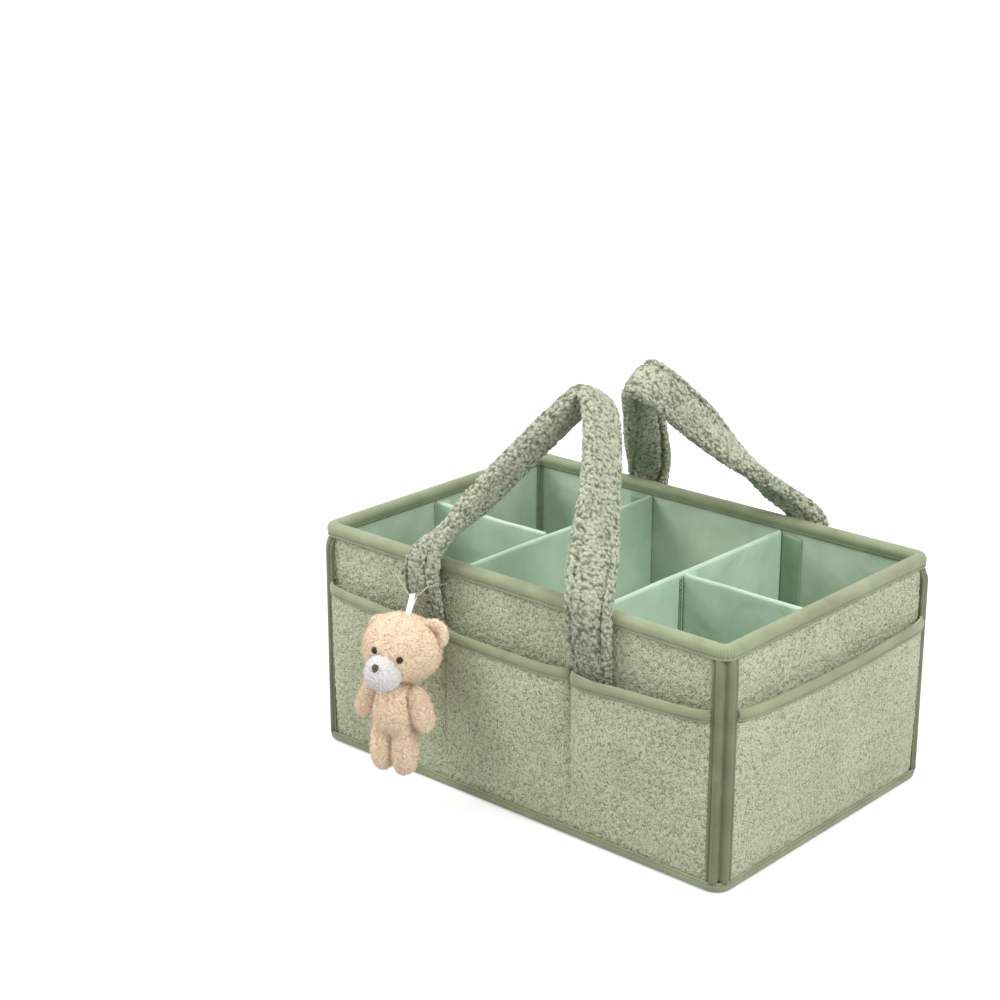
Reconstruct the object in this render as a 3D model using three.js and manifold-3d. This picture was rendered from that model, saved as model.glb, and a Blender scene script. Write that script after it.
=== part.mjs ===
// Diaper caddy: a stiffened fabric box with outside pockets, two padded carrying handles,
// two T-shaped divider inserts and a small plush bear hung on a ball chain.
// Millimetres, +Z up. The origin is the centre of the underside and -Y is the front.
import * as THREE from 'three';
import { mergeVertices } from 'three/addons/utils/BufferGeometryUtils.js';
import Module from 'manifold-3d';

const wasm = await Module();
wasm.setup();

// Box, over its bindings
const LENGTH = 386;
const WIDTH = 256;
const HEIGHT = 180;

// Layers of a wall, from the outside in, and the gap left between neighbouring layers
const TAPE = 1.2;
const POCKET_CLOTH = 1.5;
const WALL_CLOTH = 2.0;
const BOARD = 3.0;
const LINING = 0.8;
const CLEAR = 0.3;

// Bindings
const RIM_DROP = 10;
const RIM_RADIUS = 12;
const BASE_RISE = 8;
const BASE_LIP = 12;
const BASE_RADIUS = 13;
const CORNER_RADIUS = 10;
const CORNER_FACETS = 5;
const FLOOR_RADIUS = 6;
const POCKET_BINDING = 9;

// Pockets: top edge at the box corners, how far it dips between them, and the pouches' swell
const POCKET_TOP = 134.5;
const LONG_DIP = 4;
const SHORT_DIP = 2;
const POUCH_SWELL = 9;

// Padded handles. Each leg of an arch is drawn from its root by two pulls: inwards and up at the
// root, and along the top from the apex. Its section is level at the hinge and settles square to
// the leg over a share of the length, and it turns on edge over another.
const STRAP_WIDTH = 35;
const STRAP_THICK = 14;
const STRAP_CLOTH = 2;
const STRAP_FACETS = 14;
const STRAP_ROUNDING = 0.55;
const LEG_SPACING = 158;
const LEG_STEPS = 16;
const ROOT_SETTLE = 0.3;
const HINGE_RISE = 3.5;
const TUCK = 14;
const TUCK_THICK = 2;
const SEAM_MARGIN = 1.5;
const FRONT_HANDLE = {
  rise: 146,
  lean: 40,
  apexShift: -2,
  twist: 76,
  left: { inwards: 13.5, up: 9, reach: 12.5, turn: [0.05, 0.38] },
  right: { inwards: 26, up: 63, reach: 25, turn: [0.05, 0.42] },
};
const BACK_HANDLE = {
  rise: 152.5,
  lean: 43,
  apexShift: -5,
  twist: 82,
  left: { inwards: 15.5, up: 16, reach: 12.5, turn: [0.08, 0.68] },
  right: { inwards: 35, up: 9.5, reach: 25, turn: [0.13, 0.71] },
};

// Divider inserts
const DIVIDER_X = 63;
const DIVIDER_Y = -8;
const DIVIDER_DROP = 0.5;
const DIVIDER_CLOTH = 0.8;
const DIVIDER_BOARD = 2.4;
const FLAP = 18;
const FLAP_CLOTH = 1.0;

// Bear: its hang, and the stuffed pieces' half sizes and places, each on the piece it is sewn to
const BEAR_HANG = 2.6;
const BEAR_TURN = 15;
const BEAR_GAP = 1.5;
const BEAR_SHIFT = 9.4;
const FACE_TILT = 8;
const HEAD = { at: [0, 0, 0], half: [29, 25, 24.5], swell: 0.05 };
const TORSO = { at: sewnOn(HEAD, 0, -0.31, -1.776), half: [17, 15, 22.5], swell: 0.16 };
const LEG = { at: sewnOn(TORSO, 0.518, -0.06, -1.31), half: [8.6, 10.5, 23.5], swell: 0.1 };
const ARM = { at: sewnOn(TORSO, 1.27, -0.12, 0.13), half: [7.6, 8, 17], swell: 0.1, turn: 20 };
const EAR = { at: sewnOn(HEAD, 0.786, 0.23, 0.537), half: [11.5, 5.5, 11.5], swell: 0, turn: 40 };
const LEFT_EAR = { ...EAR, at: sewnOn(HEAD, 0.7, 0.23, 0.28) };
const MUZZLE = { at: sewnOn(HEAD, -0.02, -0.94, -0.485), half: [13.8, 14, 13.5], swell: 0.06 };
const NOSE = { at: sewnOn(MUZZLE, -0.09, -0.86, 0.5), half: [2.3, 2.2, 3.8], swell: -0.5 };
const EYE = { at: sewnOn(HEAD, 0.359, -0.92, 0.08), half: [2.6, 2.6, 2.6], swell: 0 };

// Ball chain and the ribbon that the bear hangs on
const BEAD = 1.4;
const BEAD_PITCH = 2;
const BEAD_SIDES = 5;
const BEAD_SAMPLES = 25;
const CHAIN_WIRE = 0.55;
const CHAIN_DROP = 7;
const CHARM_SHIFT = 5;
const CHARM_DROP = 11;
const CHARM_REACH = 5.6;
const CHARM_BEND = 8.4;
const CLASP_LENGTH = 6;
const CLASP_WALL = 0.7;
const RIBBON_WIDTH = 4;
const RIBBON_THICK = 0.8;
const RIBBON_EYE = 1.9;
const RIBBON_DROP = 5.5;
const RIBBON_BACK = 5.5;
const RIBBON_ASIDE = 1;
const RIBBON_LIFT = 0.2;

// Depths below the box's outer faces, and heights above its underside
const POCKET_IN = TAPE + CLEAR;
const WALL_IN = POCKET_IN + POCKET_CLOTH + CLEAR;
const BOARD_IN = WALL_IN + WALL_CLOTH + CLEAR;
const LINING_IN = BOARD_IN + BOARD + CLEAR;
const INSIDE = LINING_IN + LINING;
const RIM_IN = WALL_IN - CLEAR - TAPE;
const WALL_FOOT = TAPE + CLEAR;
const WALL_TOP = HEIGHT - TAPE - CLEAR;
const FLOOR = WALL_FOOT + BOARD + CLEAR + LINING;
const PANEL_END = Math.max(
  clearOfCorner(RIM_IN, RIM_RADIUS, WALL_IN),
  clearOfCorner(0, BASE_RADIUS, POCKET_IN),
) + CLEAR;
const LONG_RUN = LENGTH / 2 - PANEL_END;
const SHORT_RUN = WIDTH / 2 - PANEL_END;
const LEG_X = LEG_SPACING / 2;
const SEAM_X = LEG_X - STRAP_WIDTH / 2 - SEAM_MARGIN;
const STAND_OFF = BEAD + 2 * CLEAR;
const HINGE_Y = WIDTH / 2 - WALL_IN + STAND_OFF + STRAP_THICK / 2;
const HINGE_Z = HEIGHT + HINGE_RISE;
const DIVIDER_TOP = HEIGHT - RIM_DROP - DIVIDER_DROP;
const CHAIN_RISE = HEIGHT - RIM_DROP - CHAIN_DROP;
const CHAIN_FRONT = -HINGE_Y - STRAP_THICK / 2 - CLEAR - BEAD;
const CHARM_AT = new THREE.Vector3(
  CHARM_SHIFT - LEG_X,
  CHAIN_FRONT - CHARM_REACH,
  CHAIN_RISE - CHARM_DROP,
);
const BEAR_AT = new THREE.Vector3(
  BEAR_SHIFT - LEG_X,
  -WIDTH / 2 - POUCH_SWELL - HEAD.half[1] - BEAR_GAP,
  CHARM_AT.z - RIBBON_DROP - HEAD.half[2],
);
const RIBBON_FOOT = new THREE.Vector3(
  BEAR_AT.x + RIBBON_ASIDE,
  BEAR_AT.y + RIBBON_BACK,
  BEAR_AT.z + HEAD.half[2] + RIBBON_THICK / 2 + RIBBON_LIFT,
);

const COLOURS = {
  boucle: [0xa9b094, 0.95],
  tape: [0x8f9672, 0.8],
  lining: [0x9fc6a8, 0.6],
  board: [0xe9e4d8, 0.9],
  foam: [0xf2efe6, 0.95],
  plush: [0xefd0ab, 0.95],
  felt: [0xf4f2ee, 0.9],
  satin: [0xf6f4f0, 0.4],
  bead: [0x17120f, 0.2],
  thread: [0x5b3b2b, 0.7],
  steel: [0xc9cacb, 0.25],
};

const caddy = new THREE.Group();

// How far in from a box corner a flat layer must stop to fit inside a rounded tape there
function clearOfCorner(setback, radius, face) {
  const across = radius - (face - setback);
  const inner = (radius - TAPE) * Math.cos(Math.PI / 4 / CORNER_FACETS);
  return setback + radius - Math.sqrt(Math.max(0, inner * inner - across * across));
}

// A place on a stuffed piece, in shares of its half sizes
function sewnOn(form, ...shares) {
  return form.at.map((centre, axis) => centre + shares[axis] * form.half[axis]);
}

function addPiece(name, geometry, colour, parent = caddy) {
  const [color, roughness] = COLOURS[colour];
  const metalness = colour === 'steel' ? 1 : 0;
  const material = new THREE.MeshStandardMaterial({ color, roughness, metalness });
  const piece = new THREE.Mesh(geometry, material);
  piece.name = name;
  parent.add(piece);
  return piece;
}

// A closed geometry from points and triangles, turned so that its faces point out
function closedGeometry(points, triangles) {
  let volume = 0;
  for (const [a, b, c] of triangles) {
    volume += points[a].dot(new THREE.Vector3().crossVectors(points[b], points[c]));
  }
  const facing = volume < 0 ? triangles.map(([a, b, c]) => [a, c, b]) : triangles;
  const geometry = new THREE.BufferGeometry().setFromPoints(points);
  geometry.setIndex(facing.flat());
  return geometry;
}

function quad(a, b, c, d) {
  return [[a, b, c], [a, c, d]];
}

// Triangles between rings of equally many points, from each ring to the next
function bands(rings, first = 0, closed = false) {
  const count = rings[0].length;
  const faces = [];
  const steps = closed ? rings.length : rings.length - 1;
  for (let i = 0; i < steps; i += 1) {
    const here = first + i * count;
    const there = first + ((i + 1) % rings.length) * count;
    for (let j = 0; j < count; j += 1) {
      const k = (j + 1) % count;
      faces.push(...quad(here + j, here + k, there + k, there + j));
    }
  }
  return faces;
}

// A solid through rings; the outline is the rings' shape in the plane of the end caps
function loft(rings, outline) {
  const last = (rings.length - 1) * rings[0].length;
  const turned = THREE.ShapeUtils.area(outline);
  const faces = bands(rings);
  for (const [a, b, c] of THREE.ShapeUtils.triangulateShape(outline, [])) {
    const same = THREE.ShapeUtils.area([outline[a], outline[b], outline[c]]) * turned > 0;
    const [p, q] = same ? [b, c] : [c, b];
    faces.push([a, q, p], [last + a, last + p, last + q]);
  }
  return closedGeometry(rings.flat(), faces);
}

// A tube with a wall: the space between outer and inner rings, open at both ends
function hollowLoft(outer, inner) {
  const count = outer[0].length;
  const first = outer.length * count;
  const last = first - count;
  const faces = bands(outer);
  faces.push(...bands(inner, first).map(([a, b, c]) => [a, c, b]));
  for (let j = 0; j < count; j += 1) {
    const k = (j + 1) % count;
    faces.push(...quad(k, j, first + j, first + k));
    faces.push(...quad(last + j, last + k, first + last + k, first + last + j));
  }
  return closedGeometry([...outer.flat(), ...inner.flat()], faces);
}

// A sheet with a thickness: front and back are grids of points, row by row
function sheet(front, back) {
  const rows = front.length;
  const columns = front[0].length;
  const half = rows * columns;
  const at = (i, j) => i * columns + j;
  const faces = [];
  for (let i = 0; i + 1 < rows; i += 1) {
    for (let j = 0; j + 1 < columns; j += 1) {
      const corners = [at(i, j), at(i, j + 1), at(i + 1, j + 1), at(i + 1, j)];
      faces.push(...quad(...corners));
      faces.push(...quad(...corners.map((corner) => corner + half).reverse()));
    }
  }
  const edge = [];
  for (let j = 0; j + 1 < columns; j += 1) edge.push(at(0, j));
  for (let i = 0; i + 1 < rows; i += 1) edge.push(at(i, columns - 1));
  for (let j = columns - 1; j > 0; j -= 1) edge.push(at(rows - 1, j));
  for (let i = rows - 1; i > 0; i -= 1) edge.push(at(i, 0));
  edge.forEach((a, n) => {
    const b = edge[(n + 1) % edge.length];
    faces.push(...quad(b, a, a + half, b + half));
  });
  return closedGeometry([...front.flat(), ...back.flat()], faces);
}

function box(x0, x1, y0, y1, z0, z1) {
  const geometry = new THREE.BoxGeometry(x1 - x0, y1 - y0, z1 - z0);
  return geometry.translate((x0 + x1) / 2, (y0 + y1) / 2, (z0 + z1) / 2);
}

// An upright prism over an outline in plan
function prism(outline, low, high, curveSegments = 5) {
  const shape = outline instanceof THREE.Shape ? outline : new THREE.Shape(outline);
  const options = { depth: high - low, bevelEnabled: false, curveSegments };
  return new THREE.ExtrudeGeometry(shape, options).translate(0, 0, low);
}

function roundedRectangle(halfX, halfY, radius) {
  const quarter = Math.PI / 2;
  const shape = new THREE.Shape();
  shape.absarc(halfX - radius, halfY - radius, radius, 0, quarter);
  shape.absarc(radius - halfX, halfY - radius, radius, quarter, 2 * quarter);
  shape.absarc(radius - halfX, radius - halfY, radius, 2 * quarter, 3 * quarter);
  shape.absarc(halfX - radius, radius - halfY, radius, 3 * quarter, 4 * quarter);
  return shape;
}

// A tape running right round the box; its section is a list of [depth inwards, height]
function bandRoundBox(setback, radius, section) {
  const rings = [];
  for (let corner = 0; corner < 4; corner += 1) {
    for (let step = 0; step <= CORNER_FACETS; step += 1) {
      const angle = (corner + step / CORNER_FACETS) * Math.PI / 2;
      const signX = corner === 0 || corner === 3 ? 1 : -1;
      const signY = corner < 2 ? 1 : -1;
      const centreX = signX * (LENGTH / 2 - setback - radius);
      const centreY = signY * (WIDTH / 2 - setback - radius);
      rings.push(section.map(([depth, height]) => new THREE.Vector3(
        centreX + (radius - depth) * Math.cos(angle),
        centreY + (radius - depth) * Math.sin(angle),
        height,
      )));
    }
  }
  return closedGeometry(rings.flat(), bands(rings, 0, true));
}

function toSolid(geometry) {
  const bare = geometry.clone();
  bare.deleteAttribute('normal');
  bare.deleteAttribute('uv');
  const merged = mergeVertices(bare, 1e-4);
  const vertProperties = new Float32Array(merged.attributes.position.array);
  const triVerts = new Uint32Array(merged.index.array);
  return new wasm.Manifold(new wasm.Mesh({ numProp: 3, vertProperties, triVerts }));
}

function cut(geometry, ...tools) {
  const left = tools.reduce((solid, tool) => solid.subtract(toSolid(tool)), toSolid(geometry));
  const mesh = left.getMesh();
  const result = new THREE.BufferGeometry();
  result.setAttribute('position', new THREE.BufferAttribute(mesh.vertProperties, 3));
  result.setIndex(new THREE.BufferAttribute(mesh.triVerts, 1));
  return result;
}

// Base: outer cloth inside the binding's lip, stiff board and lining
function addBase() {
  const coverX = LENGTH / 2 - BASE_LIP - CLEAR;
  const coverY = WIDTH / 2 - BASE_LIP - CLEAR;
  const coverRadius = BASE_RADIUS - BASE_LIP;
  addPiece('base_cover', prism(roundedRectangle(coverX, coverY, coverRadius), 0, TAPE), 'boucle');
  const insideX = LENGTH / 2 - INSIDE - CLEAR;
  const insideY = WIDTH / 2 - INSIDE - CLEAR;
  const inside = roundedRectangle(insideX, insideY, FLOOR_RADIUS);
  const boardTop = WALL_FOOT + BOARD;
  addPiece('base_board', prism(inside, WALL_FOOT, boardTop), 'board');
  addPiece('base_lining', prism(inside, boardTop + CLEAR, FLOOR), 'lining');
}

// Bindings round the bottom edge and over the wall tops, and up the four corners
function addBindings() {
  const lip = [
    [0, 0], [BASE_LIP, 0], [BASE_LIP, TAPE], [TAPE, TAPE], [TAPE, BASE_RISE], [0, BASE_RISE],
  ];
  addPiece('base_binding', bandRoundBox(0, BASE_RADIUS, lip), 'tape');
  const rimFoot = HEIGHT - RIM_DROP;
  const rimRoof = HEIGHT - TAPE;
  const inner = INSIDE + CLEAR - RIM_IN;
  const cap = [
    [0, rimFoot], [TAPE, rimFoot], [TAPE, rimRoof], [inner, rimRoof],
    [inner, rimFoot], [inner + TAPE, rimFoot], [inner + TAPE, HEIGHT], [0, HEIGHT],
  ];
  addPiece('top_rim_binding', bandRoundBox(RIM_IN, RIM_RADIUS, cap), 'tape');
  const leg = PANEL_END - CLEAR;
  const face = POCKET_IN;
  const bevel = INSIDE - CLEAR;
  const corners = {
    front_left: [-1, -1], front_right: [1, -1], back_right: [1, 1], back_left: [-1, 1],
  };
  for (const [name, [signX, signY]] of Object.entries(corners)) {
    const depths = [[leg, face], [leg, bevel], [bevel, leg], [face, leg]];
    for (let step = 0; step <= CORNER_FACETS; step += 1) {
      const angle = step / CORNER_FACETS * Math.PI / 2;
      const round = [Math.cos(angle), Math.sin(angle)];
      depths.push(round.map((share) => face + CORNER_RADIUS * (1 - share)));
    }
    const outline = depths.map(([u, v]) => new THREE.Vector2(
      signX * (LENGTH / 2 - u),
      signY * (WIDTH / 2 - v),
    ));
    const post = prism(outline, BASE_RISE + CLEAR, rimFoot - CLEAR);
    addPiece(`${name}_corner_binding`, post, 'tape');
  }
}

// Height of a pocket's cloth edge: highest at the box corners, lower towards the middle
function pocketEdge(x, wall) {
  const inner = wall.seams.length ? SEAM_X : 0;
  const rise = 1 - THREE.MathUtils.smoothstep(Math.abs(x), inner, wall.run);
  return POCKET_TOP - wall.dip * rise - TAPE - CLEAR;
}

// How far a pouch stands out from the wall, at a share of its width and of its height
function pouchSwell(across, upwards) {
  const crown = Math.sqrt(Math.max(0, 1 - Math.abs(2 * across - 1) ** 4));
  return POUCH_SWELL * crown * Math.sin(upwards * Math.PI / 2) ** 0.8;
}

// Places along a wall where its pocket is shaped: each pouch from seam to seam
function pouchStations(wall) {
  const shares = [0, 0.014, 0.06, 0.2, 0.5, 0.8, 0.94, 0.986, 1];
  const ends = [-wall.run, ...wall.seams, wall.run];
  const stations = [];
  for (let pouch = 0; pouch + 1 < ends.length; pouch += 1) {
    const width = ends[pouch + 1] - ends[pouch];
    for (const across of shares.slice(pouch ? 1 : 0)) {
      stations.push({ x: ends[pouch] + width * across, across });
    }
  }
  return stations;
}

// One side of the box: lining, board, outer cloth, pocket cloth and the pocket's binding
function addWall(wall) {
  const { name, half, run, parent } = wall;
  const layers = [
    ['wall_cloth', WALL_IN, WALL_CLOTH, 'boucle'],
    ['wall_board', BOARD_IN, BOARD, 'board'],
    ['lining', LINING_IN, LINING, 'lining'],
  ];
  for (const [layer, depth, thick, colour] of layers) {
    const panel = box(-run, run, depth - half, depth + thick - half, WALL_FOOT, WALL_TOP);
    addPiece(`${name}_${layer}`, panel, colour, parent);
  }
  const hem = BASE_RISE + TAPE;
  const rows = [0.35, 0.7, 1];
  const stations = pouchStations(wall);
  const grid = (depth) => {
    const lines = [WALL_FOOT, hem].map((z) => stations.map(
      ({ x }) => new THREE.Vector3(x, depth - half, z),
    ));
    for (const upwards of rows) {
      lines.push(stations.map(({ x, across }) => new THREE.Vector3(
        x,
        depth - half - pouchSwell(across, upwards),
        THREE.MathUtils.lerp(hem, pocketEdge(x, wall), upwards),
      )));
    }
    return lines;
  };
  const pocket = sheet(grid(POCKET_IN), grid(POCKET_IN + POCKET_CLOTH));
  addPiece(`${name}_pocket`, pocket, 'boucle', parent);
  const seat = POCKET_IN + POCKET_CLOTH;
  const fold = [
    [0, TAPE], [seat, TAPE], [seat, 0], [TAPE, 0],
    [TAPE, TAPE - POCKET_BINDING], [0, TAPE - POCKET_BINDING],
  ];
  const rings = stations.map(({ x, across }) => fold.map(([depth, height]) => new THREE.Vector3(
    x,
    depth - half - pouchSwell(across, 1),
    pocketEdge(x, wall) + CLEAR + height,
  )));
  const outline = fold.map(([depth, height]) => new THREE.Vector2(depth, height));
  addPiece(`${name}_pocket_binding`, loft(rings, outline), 'tape', parent);
}

// Points round a strap's section, in shares of its half width and half thickness
const STRAP_SECTION = Array.from({ length: STRAP_FACETS }, (_, n) => {
  const angle = n / STRAP_FACETS * 2 * Math.PI;
  const round = (value) => Math.sign(value) * Math.abs(value) ** STRAP_ROUNDING;
  return new THREE.Vector2(round(Math.cos(angle)), round(Math.sin(angle)));
});

// The sewn-down end of a handle: flat behind the pocket binding, padded up to the rim
function addStrapEnd(name, legX, wall) {
  const edge = pocketEdge(legX, wall) + CLEAR + TAPE;
  const face = WALL_IN - wall.half;
  const flat = STRAP_WIDTH / 2 - SEAM_MARGIN;
  const full = STRAP_WIDTH / 2;
  const padding = HEIGHT - RIM_DROP - edge;
  const stations = [
    [edge - TUCK, CLEAR, TUCK_THICK, flat],
    [edge + TAPE, CLEAR, TUCK_THICK, flat],
    [edge + 0.35 * padding, STAND_OFF / 2, 0.65 * STRAP_THICK, full],
    [edge + 0.65 * padding, STAND_OFF, 0.9 * STRAP_THICK, full],
    [HINGE_Z - STRAP_THICK / 2 - CLEAR, STAND_OFF, STRAP_THICK, full],
  ];
  const rings = stations.map(([z, gap, thick, halfWidth]) => STRAP_SECTION.map(
    (p) => new THREE.Vector3(legX + halfWidth * p.x, face - gap - thick / 2 * (1 - p.y), z),
  ));
  addPiece(name, loft(rings, STRAP_SECTION), 'boucle', wall.parent);
}

// Frames along a handle's centre line, from its left root over the apex to its right root
function handleFrames({ rise, apexShift, twist, left, right }, side) {
  const apex = new THREE.Vector2(apexShift, rise);
  const legPoints = ({ inwards, up, reach }, sign) => [
    new THREE.Vector2(sign * LEG_X, 0),
    new THREE.Vector2(sign * (LEG_X - inwards), up),
    new THREE.Vector2(apexShift + sign * reach, rise),
    apex,
  ];
  const climbing = new THREE.CubicBezierCurve(...legPoints(left, -1));
  const falling = new THREE.CubicBezierCurve(...legPoints(right, 1).reverse());
  const outward = new THREE.Vector3(0, side, 0);
  const frames = [];
  for (let n = 0; n <= 2 * LEG_STEPS; n += 1) {
    const [curve, leg] = n < LEG_STEPS ? [climbing, left] : [falling, right];
    const share = n < LEG_STEPS ? n / LEG_STEPS : n / LEG_STEPS - 1;
    const climb = n < LEG_STEPS ? share : 1 - share;
    const point = curve.getPoint(share);
    const upright = new THREE.Vector2(0, n < LEG_STEPS ? 1 : -1);
    const settled = THREE.MathUtils.smoothstep(climb, 0, ROOT_SETTLE);
    const along = upright.lerp(curve.getTangent(share), settled).normalize();
    const turned = THREE.MathUtils.smoothstep(climb, ...leg.turn) * THREE.MathUtils.degToRad(twist);
    const inward = new THREE.Vector3(along.y, 0, -along.x);
    frames.push({
      centre: new THREE.Vector3(point.x, 0, point.y),
      wide: inward.clone().multiplyScalar(Math.cos(turned)).addScaledVector(outward, Math.sin(turned)),
      thick: outward.clone().multiplyScalar(Math.cos(turned)).addScaledVector(inward, -Math.sin(turned)),
      halfWide: STRAP_WIDTH / 2,
      halfThick: STRAP_THICK / 2,
    });
  }
  return frames;
}

// A handle's root rounds off below its hinge line, so that it can swing over the strap end
function rootFrames(frame) {
  return [30, 60, 80].map((degrees) => {
    const angle = THREE.MathUtils.degToRad(degrees);
    const drop = new THREE.Vector3(0, 0, -Math.sin(angle) * STRAP_THICK / 2);
    return {
      ...frame,
      centre: frame.centre.clone().add(drop),
      halfThick: frame.halfThick * Math.cos(angle),
    };
  });
}

function strapRing(frame, inset) {
  const wide = frame.halfWide - inset;
  const thick = Math.max(frame.halfThick - inset, frame.halfThick * 0.4);
  return STRAP_SECTION.map((p) => frame.centre.clone()
    .addScaledVector(frame.wide, p.x * wide)
    .addScaledVector(frame.thick, p.y * thick));
}

// The padded arch of a handle: a sewn cloth tube round a foam core, leaning over the box
function addHandle(name, handle, side) {
  const group = new THREE.Group();
  group.position.set(0, side * HINGE_Y, HINGE_Z);
  group.rotation.x = side * THREE.MathUtils.degToRad(handle.lean);
  caddy.add(group);
  const arch = handleFrames(handle, side);
  const frames = [
    ...rootFrames(arch[0]).reverse(), ...arch, ...rootFrames(arch[arch.length - 1]),
  ];
  const outer = frames.map((frame) => strapRing(frame, 0));
  const inner = frames.map((frame) => strapRing(frame, STRAP_CLOTH));
  addPiece(`${name}_cover`, hollowLoft(outer, inner), 'boucle', group);
  const core = arch.map((frame) => strapRing(frame, STRAP_CLOTH + 2 * CLEAR));
  addPiece(`${name}_foam_core`, loft(core, STRAP_SECTION), 'foam', group);
}

// A T insert: a long divider across the box and a short one from it to the end wall.
// Each is a cloth pocket over a board, with sewn flaps that lie on the walls.
function addInsert(name, side) {
  const thick = DIVIDER_BOARD + 2 * (CLEAR + DIVIDER_CLOTH);
  const face = thick / 2;
  const end = WIDTH / 2 - INSIDE - CLEAR;
  const foot = FLOOR + CLEAR;
  const shapeTop = DIVIDER_TOP - DIVIDER_CLOTH;
  const place = (points) => points.map(([x, y]) => new THREE.Vector2(side * (DIVIDER_X + x), y));
  const slotted = (outline, x0, x1, y0, y1) => {
    const xs = [side * (DIVIDER_X + x0), side * (DIVIDER_X + x1)].sort((a, b) => a - b);
    const slot = box(xs[0], xs[1], y0, y1, foot - TAPE, shapeTop);
    const board = box(
      xs[0] + CLEAR, xs[1] - CLEAR, y0 + CLEAR, y1 - CLEAR, foot, shapeTop - CLEAR,
    );
    return [cut(prism(place(outline), foot, DIVIDER_TOP), slot), board];
  };
  const seam = face + FLAP_CLOTH;
  const nearY = DIVIDER_Y - face;
  const longOutline = [
    [-face, -end], [face + FLAP, -end], [face + FLAP, FLAP_CLOTH - end], [face, FLAP_CLOTH - end],
    [face, nearY], [seam, nearY], [seam, nearY + FLAP], [face, nearY + FLAP],
    [face, end - FLAP_CLOTH], [face + FLAP, end - FLAP_CLOTH], [face + FLAP, end], [-face, end],
  ];
  const slotX = face - DIVIDER_CLOTH;
  const slotY = end - FLAP_CLOTH - CLEAR;
  const [longCover, longBoard] = slotted(longOutline, -slotX, slotX, -slotY, slotY);
  addPiece(`${name}_long_divider_cover`, longCover, 'lining');
  addPiece(`${name}_long_divider_board`, longBoard, 'board');
  const root = seam + CLEAR;
  const tip = LENGTH / 2 - INSIDE - CLEAR - DIVIDER_X;
  const farY = DIVIDER_Y + face;
  const shortOutline = [
    [root, nearY], [tip, nearY], [tip, nearY + FLAP], [tip - FLAP_CLOTH, nearY + FLAP],
    [tip - FLAP_CLOTH, farY], [root, farY],
  ];
  const [shortCover, shortBoard] = slotted(
    shortOutline, root + DIVIDER_CLOTH, tip - FLAP_CLOTH - CLEAR,
    nearY + DIVIDER_CLOTH, farY - DIVIDER_CLOTH,
  );
  addPiece(`${name}_short_divider_cover`, shortCover, 'lining');
  addPiece(`${name}_short_divider_board`, shortBoard, 'board');
}

// A stuffed form: a rounded body that is fuller below its middle by its swell
function stuffed(form, side = 1, grow = 0, segments = [16, 10]) {
  const [x, y, z] = form.at;
  const geometry = new THREE.SphereGeometry(1, ...segments).rotateX(Math.PI / 2);
  const position = geometry.attributes.position;
  for (let n = 0; n < position.count; n += 1) {
    const fuller = 1 - form.swell * position.getZ(n);
    position.setX(n, position.getX(n) * fuller);
    position.setY(n, position.getY(n) * fuller);
  }
  geometry.scale(...form.half.map((size) => size + grow));
  if (form.turn) geometry.rotateY(-side * THREE.MathUtils.degToRad(form.turn));
  return geometry.translate(side * x, y, z);
}

// The bear: head, torso and limbs are sewn together, so each is shaped by the larger ones
function addBear() {
  const bear = new THREE.Group();
  bear.position.copy(BEAR_AT);
  bear.rotation.set(0, THREE.MathUtils.degToRad(BEAR_HANG), THREE.MathUtils.degToRad(BEAR_TURN));
  caddy.add(bear);
  const headSpace = stuffed(HEAD, 1, CLEAR);
  const torsoSpace = stuffed(TORSO, 1, CLEAR);
  const muzzleSpace = stuffed(MUZZLE, 1, CLEAR, [14, 8]);
  const small = [10, 6];
  addPiece('bear_head', stuffed(HEAD), 'plush', bear);
  addPiece('bear_body', cut(stuffed(TORSO), headSpace), 'plush', bear);
  // The face is sewn on a little askew, so the head's space is turned back for it
  const tilt = THREE.MathUtils.degToRad(FACE_TILT);
  const face = new THREE.Group();
  face.rotation.y = tilt;
  bear.add(face);
  const behindFace = headSpace.clone().rotateY(-tilt);
  addPiece('bear_muzzle', cut(stuffed(MUZZLE, 1, 0, [14, 8]), behindFace), 'felt', face);
  addPiece('bear_nose', cut(stuffed(NOSE, 1, 0, small), muzzleSpace), 'thread', face);
  for (const [name, side, earForm] of [['left', -1, LEFT_EAR], ['right', 1, EAR]]) {
    const limb = [12, 8];
    const leg = cut(stuffed(LEG, side, 0, limb), torsoSpace);
    const arm = cut(stuffed(ARM, side, 0, limb), torsoSpace, headSpace);
    const ear = cut(stuffed(earForm, side, 0, [14, 8]), headSpace);
    const eye = cut(stuffed(EYE, side, 0, small), behindFace, muzzleSpace);
    addPiece(`bear_${name}_leg`, leg, 'plush', bear);
    addPiece(`bear_${name}_arm`, arm, 'plush', bear);
    addPiece(`bear_${name}_ear`, ear, 'plush', bear);
    addPiece(`bear_${name}_eye`, eye, 'bead', face);
  }
}

// A closed path through points, straight between them and rounded off over each one's bend
function roundedLoop(corners) {
  const towards = (from, to) => {
    const step = to.point.clone().sub(from.point);
    return from.point.clone().addScaledVector(step, Math.min(from.bend / step.length(), 0.5));
  };
  const path = new THREE.CurvePath();
  corners.forEach((corner, n) => {
    const before = corners[(n + corners.length - 1) % corners.length];
    const after = corners[(n + 1) % corners.length];
    const exit = towards(corner, after);
    path.add(new THREE.QuadraticBezierCurve3(towards(corner, before), corner.point, exit));
    path.add(new THREE.LineCurve3(exit, towards(after, corner)));
  });
  return path;
}

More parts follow.
